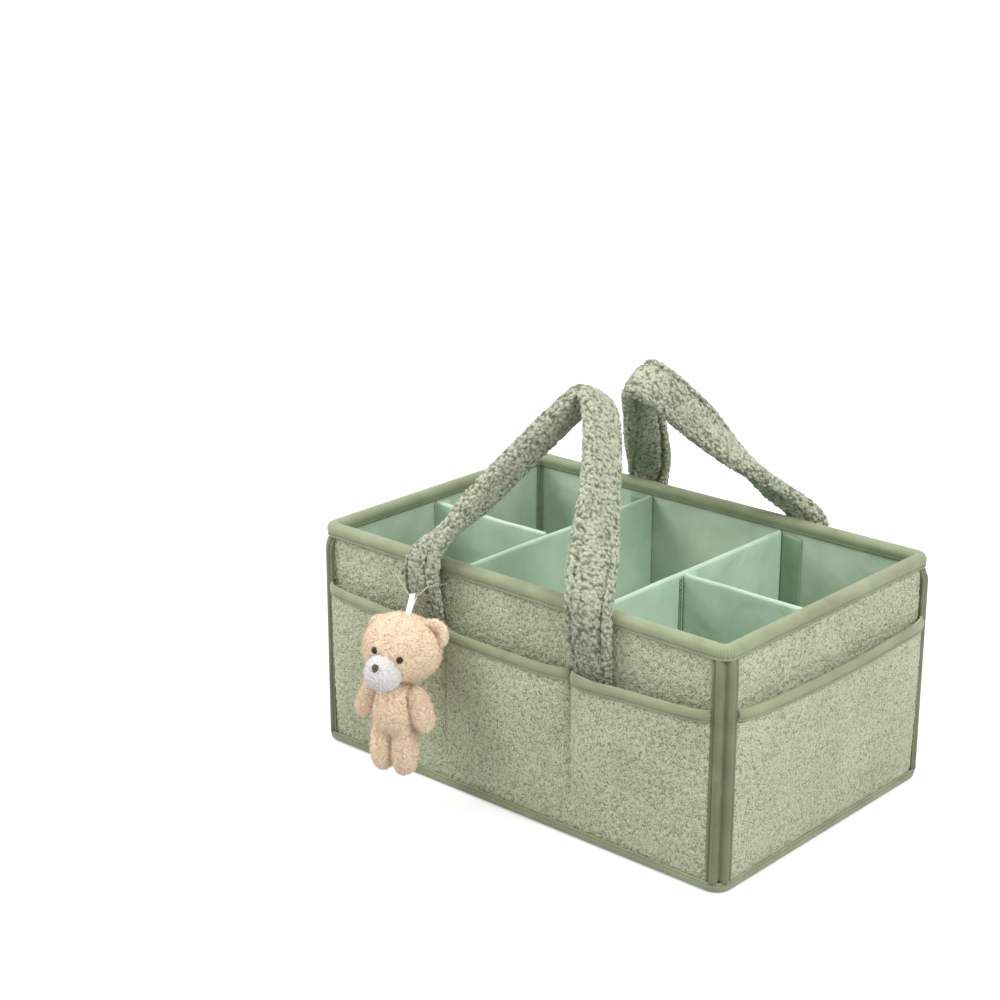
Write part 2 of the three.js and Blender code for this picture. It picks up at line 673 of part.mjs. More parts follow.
// Ball chain round the front left strap end, behind the strap and down in a V in front
function addCharmChain() {
  const radius = BEAD / 2;
  const wallFace = WALL_IN - WIDTH / 2;
  const behind = wallFace - CLEAR - radius;
  const side = -HINGE_Y - STRAP_THICK / 2;
  const beside = STRAP_WIDTH / 2 + radius + CLASP_WALL + 2 * CLEAR;
  const near = STRAP_WIDTH / 2 - BEAD;
  const high = CHAIN_RISE + BEAD;
  const at = (x, y, z) => ({ point: new THREE.Vector3(x - LEG_X, y, z), bend: 1.2 * BEAD });
  const charm = { point: CHARM_AT, bend: CHARM_BEND };
  const corners = [
    at(-beside, behind, CHAIN_RISE),
    at(beside, behind, CHAIN_RISE),
    at(beside, side, high),
    at(near, CHAIN_FRONT, high),
    charm,
    at(-near, CHAIN_FRONT, high),
    at(-beside, side, high),
  ];
  const path = roundedLoop(corners);
  const beads = Math.round(path.getLength() / BEAD_PITCH);
  const stops = [[0, CHAIN_WIRE / 2], [0.36, radius], [0.64, radius]];
  const rings = [];
  const steps = beads * BEAD_SAMPLES;
  const frames = path.computeFrenetFrames(steps, true);
  for (let bead = 0; bead < beads; bead += 1) {
    for (const [share, size] of stops) {
      const n = Math.round((bead + share) * BEAD_SAMPLES);
      const centre = path.getPoint(n / steps);
      rings.push(Array.from({ length: BEAD_SIDES }, (_, corner) => {
        const angle = corner / BEAD_SIDES * 2 * Math.PI;
        return centre.clone()
          .addScaledVector(frames.normals[n], size * Math.cos(angle))
          .addScaledVector(frames.binormals[n], size * Math.sin(angle));
      }));
    }
  }
  addPiece('ball_chain', closedGeometry(rings.flat(), bands(rings, 0, true)), 'steel');
  const bore = radius + CLEAR;
  const half = CLASP_LENGTH / 2;
  const sleeve = [
    [bore, -half], [bore + CLASP_WALL, -half], [bore + CLASP_WALL, half], [bore, half], [bore, -half],
  ];
  const profile = sleeve.map(([r, y]) => new THREE.Vector2(r, y));
  const connector = addPiece('chain_clasp', new THREE.LatheGeometry(profile, 10), 'steel');
  const [from, to] = [corners[6].point, corners[0].point];
  const along = to.clone().sub(from).normalize();
  connector.position.copy(from).add(to).multiplyScalar(0.5);
  connector.quaternion.setFromUnitVectors(new THREE.Vector3(0, 1, 0), along);
  return path.curves[2 * corners.indexOf(charm)].getPoint(0.5);
}

// Satin ribbon: an eye round the chain's lowest bead, drawn out to the top of the bear's head
function addRibbon(seat) {
  const down = RIBBON_FOOT.clone().sub(seat);
  const length = down.length();
  down.normalize();
  const outer = RIBBON_EYE + RIBBON_THICK;
  const shape = new THREE.Shape();
  const neck = Math.acos(outer / length * 0.8);
  shape.absarc(0, 0, outer, neck, 2 * Math.PI - neck);
  shape.lineTo(length, -RIBBON_THICK);
  shape.lineTo(length, RIBBON_THICK);
  shape.holes.push(new THREE.Path().absarc(0, 0, RIBBON_EYE, 0, 2 * Math.PI));
  const options = { depth: RIBBON_WIDTH, bevelEnabled: false, curveSegments: 8 };
  const ribbon = new THREE.ExtrudeGeometry(shape, options).translate(0, 0, -RIBBON_WIDTH / 2);
  const wide = new THREE.Vector3(1, 0, 0).addScaledVector(down, -down.x).normalize();
  const turn = new THREE.Matrix4().makeBasis(down, wide.clone().cross(down), wide);
  addPiece('ribbon_loop', ribbon.applyMatrix4(turn), 'satin').position.copy(seat);
}

addBase();
addBindings();
const walls = {
  front: { half: WIDTH / 2, run: LONG_RUN, dip: LONG_DIP, seams: [-SEAM_X, SEAM_X], turn: 0 },
  right: { half: LENGTH / 2, run: SHORT_RUN, dip: SHORT_DIP, seams: [], turn: 90 },
  back: { half: WIDTH / 2, run: LONG_RUN, dip: LONG_DIP, seams: [-SEAM_X, SEAM_X], turn: 180 },
  left: { half: LENGTH / 2, run: SHORT_RUN, dip: SHORT_DIP, seams: [], turn: 270 },
};
for (const [name, wall] of Object.entries(walls)) {
  wall.name = name;
  wall.parent = new THREE.Group();
  wall.parent.rotation.z = THREE.MathUtils.degToRad(wall.turn);
  caddy.add(wall.parent);
  addWall(wall);
}
addStrapEnd('front_left_strap_end', -LEG_X, walls.front);
addStrapEnd('front_right_strap_end', LEG_X, walls.front);
addStrapEnd('back_right_strap_end', -LEG_X, walls.back);
addStrapEnd('back_left_strap_end', LEG_X, walls.back);
addHandle('front_handle', FRONT_HANDLE, -1);
addHandle('back_handle', BACK_HANDLE, 1);
addInsert('left', -1);
addInsert('right', 1);
addRibbon(addCharmChain());
addBear();

export default caddy;
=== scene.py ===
import itertools
import math

import bpy
import numpy as np
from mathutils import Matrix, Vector


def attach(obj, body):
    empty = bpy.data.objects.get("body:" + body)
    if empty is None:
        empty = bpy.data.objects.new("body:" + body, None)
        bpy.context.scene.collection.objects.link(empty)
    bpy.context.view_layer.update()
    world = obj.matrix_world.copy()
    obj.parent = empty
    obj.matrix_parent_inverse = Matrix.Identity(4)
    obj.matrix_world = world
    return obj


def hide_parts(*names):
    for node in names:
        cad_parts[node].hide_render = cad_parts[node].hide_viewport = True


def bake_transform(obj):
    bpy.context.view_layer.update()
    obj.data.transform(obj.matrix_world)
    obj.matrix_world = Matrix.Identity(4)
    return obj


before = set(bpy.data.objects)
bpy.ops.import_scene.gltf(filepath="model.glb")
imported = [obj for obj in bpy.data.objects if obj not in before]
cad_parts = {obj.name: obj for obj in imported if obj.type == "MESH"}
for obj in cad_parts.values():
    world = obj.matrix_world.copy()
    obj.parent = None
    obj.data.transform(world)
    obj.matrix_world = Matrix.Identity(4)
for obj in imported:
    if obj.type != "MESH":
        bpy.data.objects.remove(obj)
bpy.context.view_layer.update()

# The studio: a pale floor, a white surround and soft lamps, seen from the photograph's angle.
# None of it belongs to the caddy.
scene = bpy.context.scene
scene.view_settings.view_transform = "Standard"
bpy.ops.object.select_all(action="DESELECT")
bpy.ops.object.camera_add(
    location=(0.93096, -1.17091, 0.70659),
    rotation=(math.radians(71.56), 0, math.radians(41.957)),
)
camera = bpy.context.object
camera.name = "photo_camera"
camera.data.sensor_width = 36
camera.data.lens = 76.03
scene.camera = camera

lamps = {
    "key_lamp": {"place": (-1.0, -0.78, 1.1), "size": 0.8, "power": 16.5},
    "end_lamp": {"place": (1.5, -0.35, 1.5), "size": 1.0, "power": 29},
    "top_lamp": {"place": (0.0, 0.4, 1.8), "size": 1.4, "power": 11},
}
middle_of_caddy = Vector((0, 0, 0.12))
for name, lamp in lamps.items():
    aim = (middle_of_caddy - Vector(lamp["place"])).to_track_quat("-Z", "Y")
    bpy.ops.object.light_add(type="AREA", location=lamp["place"], rotation=aim.to_euler())
    made = bpy.context.object
    made.name = name
    made.data.size = lamp["size"]
    made.data.energy = lamp["power"]


def set_inputs(owner, node, inputs):
    """Sets a node's sockets, or links those whose value is another node's socket."""
    for key, value in inputs.items():
        if isinstance(value, bpy.types.NodeSocket):
            owner.node_tree.links.new(value, node.inputs[key])
        else:
            node.inputs[key].default_value = value


def add_node(owner, kind, inputs=None, **settings):
    """A shader node in a material or world, with its sockets linked or set."""
    made = owner.node_tree.nodes.new("ShaderNode" + kind)
    for key, value in settings.items():
        setattr(made, key, value)
    set_inputs(owner, made, inputs or {})
    return made


def new_finish(name):
    """A material with nodes, its shader, and the Object coordinates that its pattern follows."""
    material = bpy.data.materials.new(name)
    material.use_nodes = True
    place = add_node(material, "TexCoord").outputs["Object"]
    return material, material.node_tree.nodes["Principled BSDF"], place


def seen_directly(owner):
    """1 for what the camera sees straight on, in a mirror or through glass."""
    path = add_node(owner, "LightPath")
    seen = path.outputs["Is Camera Ray"]
    for ray in ("Is Glossy Ray", "Is Transmission Ray"):
        seen = add_node(owner, "Math", {0: seen, 1: path.outputs[ray]}, operation="MAXIMUM").outputs[0]
    return seen


world = bpy.data.worlds.new("white_surround")
scene.world = world
world.use_nodes = True
sky_light = world.node_tree.nodes["Background"]
set_inputs(world, sky_light, {"Color": (1, 1, 1, 1), "Strength": 0.64})
white = add_node(world, "Background", {"Color": (1, 1, 1, 1), "Strength": 1})
either = add_node(world, "MixShader", {0: seen_directly(world), 1: sky_light.outputs[0], 2: white.outputs[0]})
set_inputs(world, world.node_tree.nodes["World Output"], {"Surface": either.outputs[0]})

bpy.ops.mesh.primitive_plane_add(size=14, location=(0, 0, -0.0005))
floor = bpy.context.object
floor.name = "pale_floor"
floor_paint, paint, floor_place = new_finish("pale_floor")
from_caddy = add_node(floor_paint, "VectorMath", {0: floor_place}, operation="LENGTH").outputs["Value"]
whiter = add_node(
    floor_paint, "MapRange",
    {"Value": from_caddy, "From Min": 0.3, "From Max": 1.1, "To Min": 0.46, "To Max": 1.0},
).outputs[0]
glow = add_node(floor_paint, "Math", {0: seen_directly(floor_paint), 1: whiter}, operation="MULTIPLY")
set_inputs(floor_paint, paint, {
    "Base Color": (0.58, 0.58, 0.58, 1), "Roughness": 0.9, "Specular IOR Level": 0.1,
    "Emission Color": (1, 1, 1, 1), "Emission Strength": glow.outputs[0],
})
floor.data.materials.append(floor_paint)

# The base: a bouclé underside, a stiff board and a mint lining laid on it.
# The cloth is cut from flat sheets; its curled pile is raised from the sheet's own surface.
box_length, box_width, box_height = 0.386, 0.256, 0.180
tape_thick, sewing_gap, cover_thick, lining_thick = 0.0012, 0.0003, 0.0012, 0.0008
panel_end, base_lip, floor_inset = 0.0122, 0.012, 0.0097
nub_pitch, nub_low = 0.0024, -0.0006
# deep is painted shade for the gaps between the nubs, light is painted light on their tops, mid is the yarn's
# own sage.
boucle_colours = {
    "deep": (0.200, 0.222, 0.112), "mid": (0.388, 0.420, 0.266), "light": (0.536, 0.575, 0.410),
}


def distance_along(line):
    """Distance along a line of places, from its start to each place."""
    return np.concatenate(([0], np.cumsum(np.linalg.norm(np.diff(line, axis=0), axis=1))))


def set_points(piece, places):
    piece.data.vertices.foreach_set("co", places.astype(np.float32).ravel())
    piece.data.update()


def select(*pieces):
    """Selects these pieces alone, the first as the active one."""
    bpy.ops.object.select_all(action="DESELECT")
    for piece in pieces:
        piece.select_set(True)
    bpy.context.view_layer.objects.active = pieces[0]


def bent_grid(name, places):
    """A flat grid of cloth bent to the places given for its rows and columns, with a UV map in metres."""
    rows, columns = places.shape[:2]
    bpy.ops.mesh.primitive_grid_add(x_subdivisions=columns - 1, y_subdivisions=rows - 1, size=1)
    piece = bpy.context.object
    piece.name = piece.data.name = name
    set_points(piece, places)
    along, up = distance_along(places[rows // 2]), distance_along(places[:, columns // 2])
    corner = np.empty(len(piece.data.loops), np.int32)
    piece.data.loops.foreach_get("vertex_index", corner)
    uv = np.stack((along[corner % columns], up[corner // columns]), axis=1)
    piece.data.uv_layers.active.data.foreach_set("uv", uv.astype(np.float32).ravel())
    bpy.ops.object.shade_smooth()
    return piece


def apply_modifier(piece, kind, **settings):
    select(piece)
    modifier = piece.modifiers.new(kind.lower(), kind)
    for key, value in settings.items():
        setattr(modifier, key, value)
    bpy.ops.object.modifier_apply(modifier=modifier.name)


def points_of(piece):
    flat = np.empty(len(piece.data.vertices) * 3, np.float32)
    piece.data.vertices.foreach_get("co", flat)
    return flat.reshape(-1, 3).astype(float)


def normals_of(piece):
    flat = np.empty(len(piece.data.vertices) * 3, np.float32)
    piece.data.vertex_normals.foreach_get("vector", flat)
    return flat.reshape(-1, 3).astype(float)


def nubs(points, pitch, seed):
    """Height from 0 to 1 of a curled pile: each cell of the pitch holds one nub of its own size."""
    cells = np.floor(points / pitch).astype(np.int64)
    height = np.zeros(len(points))
    for step in itertools.product((-1, 0, 1), repeat=3):
        cell = cells + step
        mixed = cell[:, 0] * 374761393 + cell[:, 1] * 668265263 + cell[:, 2] * 974634541 + seed * 144269504
        mixed &= 0xFFFFFFFF
        mixed = ((mixed ^ (mixed >> 13)) * 1274126177) & 0xFFFFFFFF
        mixed ^= mixed >> 16
        draws = np.stack([(mixed >> shift) & 0xFF for shift in (0, 8, 16)], axis=1) / 255
        size = (((mixed >> 24) & 0xFF) / 255)[:, None]
        away = points / pitch - cell - draws
        reach = 0.62 + 0.38 * size[:, 0]
        dome = (0.55 + 0.45 * size[:, 0]) * (1 - (away ** 2).sum(1) / reach ** 2)
        height = np.maximum(height, dome)
    return height


def raise_pile(piece, pitch, low, high, seed, amount=1.0):
    """Moves a piece's surface between low and high along its normals, as a pile of nubs."""
    points, normals = points_of(piece), normals_of(piece)
    height = 0.82 * nubs(points, pitch, seed) + 0.18 * nubs(points, pitch * 0.4, seed + 7)
    moved = points + normals * ((low + (high - low) * height) * amount)[:, None]
    # The nub height is kept as the pile attribute, which the pile finishes turn into painted shade in the
    # gaps and painted light on the tops.
    pile = piece.data.attributes.new("pile", "FLOAT", "POINT")
    pile.data.foreach_set("value", height.astype(np.float32))
    set_points(piece, moved)


def colours_of(material, value, low, high, middle=None):
    """Colours for a value: each of low, high and middle is the value it stands for, and a colour."""
    ramp = add_node(material, "ValToRGB", {"Fac": value})
    stops = ramp.color_ramp.elements
    for stop, (position, colour) in zip(stops, (low, high)):
        stop.position, stop.color = position, (*colour, 1)
    if middle:
        stops.new(middle[0]).color = (*middle[1], 1)
    return ramp.outputs[0]


def noise(material, place, scale, detail, **settings):
    """A noise pattern's value, with this many features to the metre."""
    inputs = {"Vector": place, "Scale": scale, "Detail": detail, **settings}
    return add_node(material, "TexNoise", inputs).outputs[0]


def boucle(name, colours, curl, weight=0.5):
    """Curled pile: pale curls of a given size with dark gaps of painted shade, and painted paler on the nubs'
    tops by a weight.
    """
    material, cloth, place = new_finish(name)
    pile = add_node(material, "Attribute", attribute_name="pile").outputs["Fac"]
    curls = add_node(material, "TexVoronoi", {"Vector": place, "Scale": 1 / curl}).outputs["Distance"]
    fibres = noise(material, place, 2.6 / curl, 3, Roughness=0.65)
    height = 0.61 - weight * 0.45
    for value, share in ((fibres, 0.6), (pile, weight), (curls, -0.95)):
        added = {0: value, 1: share, 2: height}
        height = add_node(material, "Math", added, operation="MULTIPLY_ADD").outputs[0]
    # The ramp paints shade into the gaps between the curls and light onto their tops, around the yarn's own
    # colour in the middle.
    shade = colours_of(
        material, height, (0.08, colours["deep"]), (0.70, colours["light"]), (0.36, colours["mid"]),
    )
    patch = noise(material, place, 26, 2)
    tone = add_node(
        material, "MapRange",
        {"Value": patch, "From Min": 0.3, "From Max": 0.7, "To Min": 0.92, "To Max": 1.07},
    )
    tinted = add_node(material, "VectorMath", {0: shade, "Scale": tone.outputs[0]}, operation="SCALE")
    bump = add_node(material, "Bump", {"Height": height, "Strength": 1.0, "Distance": curl * 0.6})
    set_inputs(material, cloth, {
        "Base Color": tinted.outputs[0], "Normal": bump.outputs[0], "Roughness": 0.9,
        "Specular IOR Level": 0.25, "Sheen Weight": 0.25, "Sheen Roughness": 0.6,
    })
    return material


def woven(name, dark, light, thread, roughness, crease, sheen):
    """Plain weave with a thread pitch, worn a little paler in places, and soft creases."""
    material, cloth, place = new_finish(name)
    on_cloth = add_node(material, "TexCoord").outputs["UV"]
    banded = {"Vector": on_cloth, "Scale": 2 * math.pi / 20 / thread, "Distortion": 0.6, "Detail": 1}
    warp, weft = (
        add_node(material, "TexWave", banded, bands_direction=way).outputs["Fac"] for way in ("X", "Y")
    )
    threads = add_node(material, "Math", {0: warp, 1: weft}, operation="MULTIPLY").outputs[0]
    patch = noise(material, place, 34, 3, Distortion=0.4)
    level = add_node(material, "Math", {0: threads, 1: 0.35, 2: patch}, operation="MULTIPLY_ADD")
    fold = noise(material, place, 17, 2, Distortion=1.2)
    creased = add_node(material, "Bump", {"Height": fold, "Strength": crease, "Distance": 0.006})
    bump = add_node(
        material, "Bump",
        {"Height": threads, "Strength": 0.35, "Distance": 0.0002, "Normal": creased.outputs[0]},
    )
    set_inputs(material, cloth, {
        "Base Color": colours_of(material, level.outputs[0], (0.28, dark), (0.82, light)),
        "Normal": bump.outputs[0], "Roughness": roughness, "Specular IOR Level": 0.35,
        "Sheen Weight": sheen, "Sheen Roughness": 0.5,
    })
    return material


def dress(piece, material, body, slot):
    """Gives a piece its finish and its body; slot is not used."""
    piece.data.materials.clear()
    piece.data.materials.append(material)
    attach(piece, body)


def flat_places(x, y, z):
    """Places on a level sheet, row by row."""
    across, deep = np.meshgrid(x, y)
    return np.stack((across, deep, np.full(across.shape, z)), axis=2)


wall_boucle = boucle("sage_boucle", boucle_colours, 0.0012)
wall_lining = woven("wall_lining", (0.330, 0.455, 0.322), (0.510, 0.620, 0.478), 0.0005, 0.42, 0.45, 0.1)
mint_cloth = woven("divider_cloth", (0.370, 0.520, 0.373), (0.500, 0.645, 0.500), 0.0005, 0.48, 0.4, 0.1)

cover_x, cover_y = box_length / 2 - base_lip - sewing_gap, box_width / 2 - base_lip - sewing_gap
places = flat_places(np.linspace(cover_x, -cover_x, 101), np.linspace(-cover_y, cover_y, 65), 0.0)
underside = bent_grid("base_underside", places)
outer = len(underside.data.vertices)
apply_modifier(underside, "SOLIDIFY", thickness=cover_thick, offset=-1)
under = np.arange(len(underside.data.vertices)) < outer
raise_pile(underside, nub_pitch, nub_low, 0.0, 1, under * 1.0)
dress(underside, wall_boucle, "caddy_box", "boucle")
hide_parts("base_cover")

floor_x, floor_y = box_length / 2 - floor_inset - sewing_gap, box_width / 2 - floor_inset - sewing_gap
floor_top = 0.0056
places = flat_places(np.linspace(-floor_x, floor_x, 61), np.linspace(-floor_y, floor_y, 41), floor_top)
inside_floor = bent_grid("floor_lining", places)
apply_modifier(inside_floor, "SOLIDIFY", thickness=lining_thick, offset=-1)
dress(inside_floor, wall_lining, "caddy_box", "lining")
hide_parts("base_lining")

board_paper, paper, board_place = new_finish("stiffening_board")
pulp = noise(board_paper, board_place, 420, 5)
pulp_bump = add_node(board_paper, "Bump", {"Height": pulp, "Strength": 0.2, "Distance": 0.0003})
set_inputs(board_paper, paper, {
    "Base Color": colours_of(board_paper, pulp, (0, (0.66, 0.62, 0.54)), (1, (0.84, 0.81, 0.74))),
    "Normal": pulp_bump.outputs[0], "Roughness": 0.9,
})
for name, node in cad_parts.items():
    if name.endswith("_board"):
        node.data.materials.clear()
        node.data.materials.append(board_paper)

# The four walls: a board between an outer bouclé panel and a mint lining.
# The panels are sewn into the bindings at all edges, so they stay flat on the board.
long_run, short_run = box_length / 2 - panel_end, box_width / 2 - panel_end
seam_x = 0.060
walls = {
    "front": {"half": box_width / 2, "run": long_run, "turn": 0, "seams": (-seam_x, seam_x), "dip": 0.004},
    "right": {"half": box_length / 2, "run": short_run, "turn": 90, "seams": (), "dip": 0.002},
    "back": {"half": box_width / 2, "run": long_run, "turn": 180, "seams": (-seam_x, seam_x), "dip": 0.004},
    "left": {"half": box_length / 2, "run": short_run, "turn": 270, "seams": (), "dip": 0.002},
}
wall_foot, wall_top = 0.0015, 0.1785
wall_face, wall_thick, lining_face = 0.0033, 0.0020, 0.0089
pile_step = 0.00105
pouch_depth_seen = 0.098


def turned(places, degrees):
    """Places on the front wall, carried round to another wall."""
    cosine, sine = round(math.cos(math.radians(degrees))), round(math.sin(math.radians(degrees)))
    x, y, z = np.moveaxis(places, -1, 0)
    return np.stack((x * cosine - y * sine, x * sine + y * cosine, z), axis=-1)


def upright_places(x, y, z):
    """Places on an upright sheet: columns along x and rows up z."""
    across, up = np.meshgrid(x, z)
    return np.stack((across, np.broadcast_to(y, across.shape), up), axis=2)


for seed, (side, wall) in enumerate(walls.items()):
    run, half = wall["run"], wall["half"]
    columns = round(2 * run / pile_step)
    heights = np.concatenate((
        np.linspace(wall_foot, pouch_depth_seen, 8, endpoint=False),
        np.linspace(pouch_depth_seen, wall_top, round((wall_top - pouch_depth_seen) / pile_step)),
    ))
    places = upright_places(np.linspace(-run, run, columns), wall_face - half, heights)
    panel = bent_grid(side + "_wall_panel", turned(places, wall["turn"]))
    outer = len(panel.data.vertices)
    apply_modifier(panel, "SOLIDIFY", thickness=wall_thick, offset=-1)
    seen = (np.arange(len(panel.data.vertices)) < outer) & (points_of(panel)[:, 2] > pouch_depth_seen)
    raise_pile(panel, nub_pitch, nub_low, 0.0005, 11 + seed, seen * 1.0)
    dress(panel, wall_boucle, "caddy_box", "boucle")
    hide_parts(side + "_wall_cloth")

    inner = lining_face + lining_thick - half
    places = upright_places(np.linspace(run, -run, 90), inner, np.linspace(wall_foot, wall_top, 45))
    lining = bent_grid(side + "_wall_lining", turned(places, wall["turn"]))
    apply_modifier(lining, "SOLIDIFY", thickness=lining_thick, offset=-1)
    dress(lining, wall_lining, "caddy_box", "lining")
    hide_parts(side + "_lining")

# The outside pockets: one bouclé panel a side, sewn down at its foot and ends.
# On the long sides two upright seams divide it into three pouches, which stand out at the mouth.
pocket_top, pouch_swell = 0.1345, 0.009
pocket_face, pocket_thick = 0.0015, 0.0015
hem_top = 0.0092
fold_wide, fold_fine, fold_drift, fold_depth = 0.0135, 0.0068, 0.09, 0.0006


def smoothstep(value, low, high):
    share = np.clip((value - low) / (high - low), 0, 1)
    return share * share * (3 - 2 * share)


def pocket_edge(x, wall):
    """Height of a pocket's cloth edge: highest at the box corners, lower towards the middle."""
    inner = wall["seams"][1] if wall["seams"] else 0.0
    rise = 1 - smoothstep(np.abs(x), inner, wall["run"])
    return pocket_top - wall["dip"] * rise - tape_thick - sewing_gap


def across_pouch(x, wall):
    """Share of the way across the pouch that holds x."""
    ends = np.array((-wall["run"], *wall["seams"], wall["run"]))
    pouch = np.clip(np.searchsorted(ends, x, side="right") - 1, 0, len(ends) - 2)
    return (x - ends[pouch]) / (ends[pouch + 1] - ends[pouch])


def stand_out(x, upwards, wall):
    """How far a pouch stands out from the wall, with the slack cloth's soft upright folds."""
    crown = np.sqrt(np.maximum(0, 1 - np.abs(2 * across_pouch(x, wall) - 1) ** 4))
    swell = pouch_swell * crown * np.sin(np.clip(upwards, 0, 1) * math.pi / 2) ** 0.8
    fold = np.sin(x / fold_wide + 2.1 * np.sin(upwards * 2.6 + x / fold_drift))
    fold = fold + 0.6 * np.sin(x / fold_fine + 3 * upwards)
    return swell + fold_depth * fold * crown * np.sin(np.clip(upwards, 0, 1) * math.pi)


hem_rows, pocket_rows, pocket_step = 4, 110, 0.0011
for seed, (side, wall) in enumerate(walls.items()):
    run, half = wall["run"], wall["half"]
    x = np.linspace(-run, run, round(2 * run / pocket_step))
    top = pocket_edge(x, wall)
    upwards = np.linspace(0, 1, pocket_rows)[:, None]
    body = np.stack((
        np.broadcast_to(x, (pocket_rows, len(x))),
        pocket_face - half - stand_out(x[None, :], upwards, wall),
        hem_top + (top[None, :] - hem_top) * upwards,
    ), axis=2)
    hem = body[:1].repeat(hem_rows, axis=0)
    hem[:, :, 2] = np.linspace(wall_foot, hem_top, hem_rows, endpoint=False)[:, None]
    pocket = bent_grid(side + "_pocket_panel", turned(np.concatenate((hem, body)), wall["turn"]))
    outer = len(pocket.data.vertices)
    apply_modifier(pocket, "SOLIDIFY", thickness=pocket_thick, offset=-1)
    local_x = np.tile(x, hem_rows + pocket_rows)
    from_seam = np.min([np.abs(local_x - seam) for seam in (*wall["seams"], 9.0)], axis=0)
    amount = np.zeros(len(pocket.data.vertices))
    amount[:outer] = 0.35 + 0.65 * smoothstep(from_seam, 0.0006, 0.0030)
    amount[: (hem_rows - 1) * len(x)] = 0
    raise_pile(pocket, nub_pitch, nub_low, 0.0006, 31 + seed, amount)
    dress(pocket, wall_boucle, "caddy_box", "boucle")
    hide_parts(side + "_pocket")

# The bindings: folded olive tape over the wall tops, the pockets' edges, the box corners and the bottom edge.
# Each is turned under, and sewn through with a row of stitches near every edge that shows.
station_step, corner_stations = 0.006, 13
tape = woven("olive_tape", (0.165, 0.195, 0.105), (0.275, 0.318, 0.188), 0.0006, 0.62, 0.1, 0.2)
thread = woven("sewing_thread", (0.135, 0.155, 0.080), (0.225, 0.255, 0.140), 0.0004, 0.6, 0.05, 0.1)


def unit(vectors):
    return vectors / np.linalg.norm(vectors, axis=-1, keepdims=True)


def between(table, along, stops):
    """A table's rows, each at its distance along a line, read off at other distances."""
    return np.stack([np.interp(stops, along, column) for column in table.T], axis=1)


def close_tape(piece):
    """Joins the edges of a bent grid that meet, and turns its faces outwards."""
    select(piece)
    bpy.ops.object.mode_set(mode="EDIT")
    bpy.ops.mesh.select_all(action="SELECT")
    bpy.ops.mesh.remove_doubles(threshold=1e-6)
    bpy.ops.mesh.normals_make_consistent(inside=False)
    bpy.ops.object.mode_set(mode="OBJECT")


def folded(outline, thick):
    """A closed section of folded tape: the outline, and the same line back again inside it."""
    outline = np.array(outline)
    step = np.gradient(outline, axis=0)
    within = outline + unit(np.stack((step[:, 1], -step[:, 0]), axis=1)) * thick
    return np.concatenate((outline, within[::-1], outline[:1]))


def pressed(section):
    """A folded tape's section with both layers pressed together, as at a cut end."""
    count = (len(section) - 1) // 2
    middle = (section[:count] + section[count:2 * count][::-1]) / 2
    return np.concatenate((middle, middle[::-1], middle[:1]))


def lifted(points, foot):
    """Points of a section whose heights are counted from its foot."""
    return [(depth, foot + height) for depth, height in points]


def arc(centre, radius, start, end, count):
    angle = np.radians(np.linspace(start, end, count))
    return [(centre[0] + radius * math.cos(a), centre[1] + radius * math.sin(a)) for a in angle]


def round_box(setback, radius):
    """Stations round the box: places on the outer face, and the way in from it."""
    signs = np.array(((1, 1), (-1, 1), (-1, -1), (1, -1)))
    centres = signs * (np.array((box_length, box_width)) / 2 - setback - radius)
    stations = []
    for corner, (centre, after) in enumerate(zip(centres, np.roll(centres, -1, axis=0))):
        for angle in np.radians(np.linspace(90 * corner, 90 * corner + 90, corner_stations)):
            outward = np.array((math.cos(angle), math.sin(angle)))
            stations.append((centre + radius * outward, -outward))
        last, inwards = stations[-1]
        goal = after - radius * inwards
        count = round(np.linalg.norm(goal - last) / station_step)
        stations += [(last + (goal - last) * share, inwards) for share in np.linspace(0, 1, count + 1)[1:-1]]
    stations.append(stations[0])
    return np.array([place for place, _ in stations]), np.array([inwards for _, inwards in stations])


def raised_to(plan, height):
    """Places over a plan, all at one height or each at its own."""
    return np.column_stack((plan, np.broadcast_to(height, len(plan))))


def tape_round_box(name, setback, radius, section, node):
    """A closed section of [depth, height] carried right round the box."""
    places, inwards = round_box(setback, radius)
    rows = [raised_to(places + inwards * depth, height) for depth, height in section]
    piece = bent_grid(name, np.array(rows))
    close_tape(piece)
    dress(piece, tape, "caddy_box", "binding_tape")
    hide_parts(node)


def tube(line, side, up, radius, faces):
    """Rows of places round a line, on a ring with this many faces."""
    ring = np.linspace(0, 2 * math.pi, faces + 1)
    return np.array([line + radius * (side * math.cos(a) + up * math.sin(a)) for a in ring])


def sew(name, line, outward, body, spacing=0.0034, thread_radius=0.0003):
    """A row of stitches along a line: one thread that dips in and out of the cloth."""
    line, outward = np.array(line), np.array(outward)
    along = distance_along(line)
    stops = np.arange(0, along[-1], spacing / 6)
    centre, out = between(line, along, stops), between(outward, along, stops)
    dip = np.cos(stops / spacing * 2 * math.pi) - 0.25
    centre = centre + out * (dip * thread_radius * 1.6)[:, None]
    side = unit(np.cross(np.gradient(centre, axis=0), out))
    row = bent_grid(name, tube(centre, side, out, thread_radius, 6))
    close_tape(row)
    dress(row, thread, body, "binding_tape")


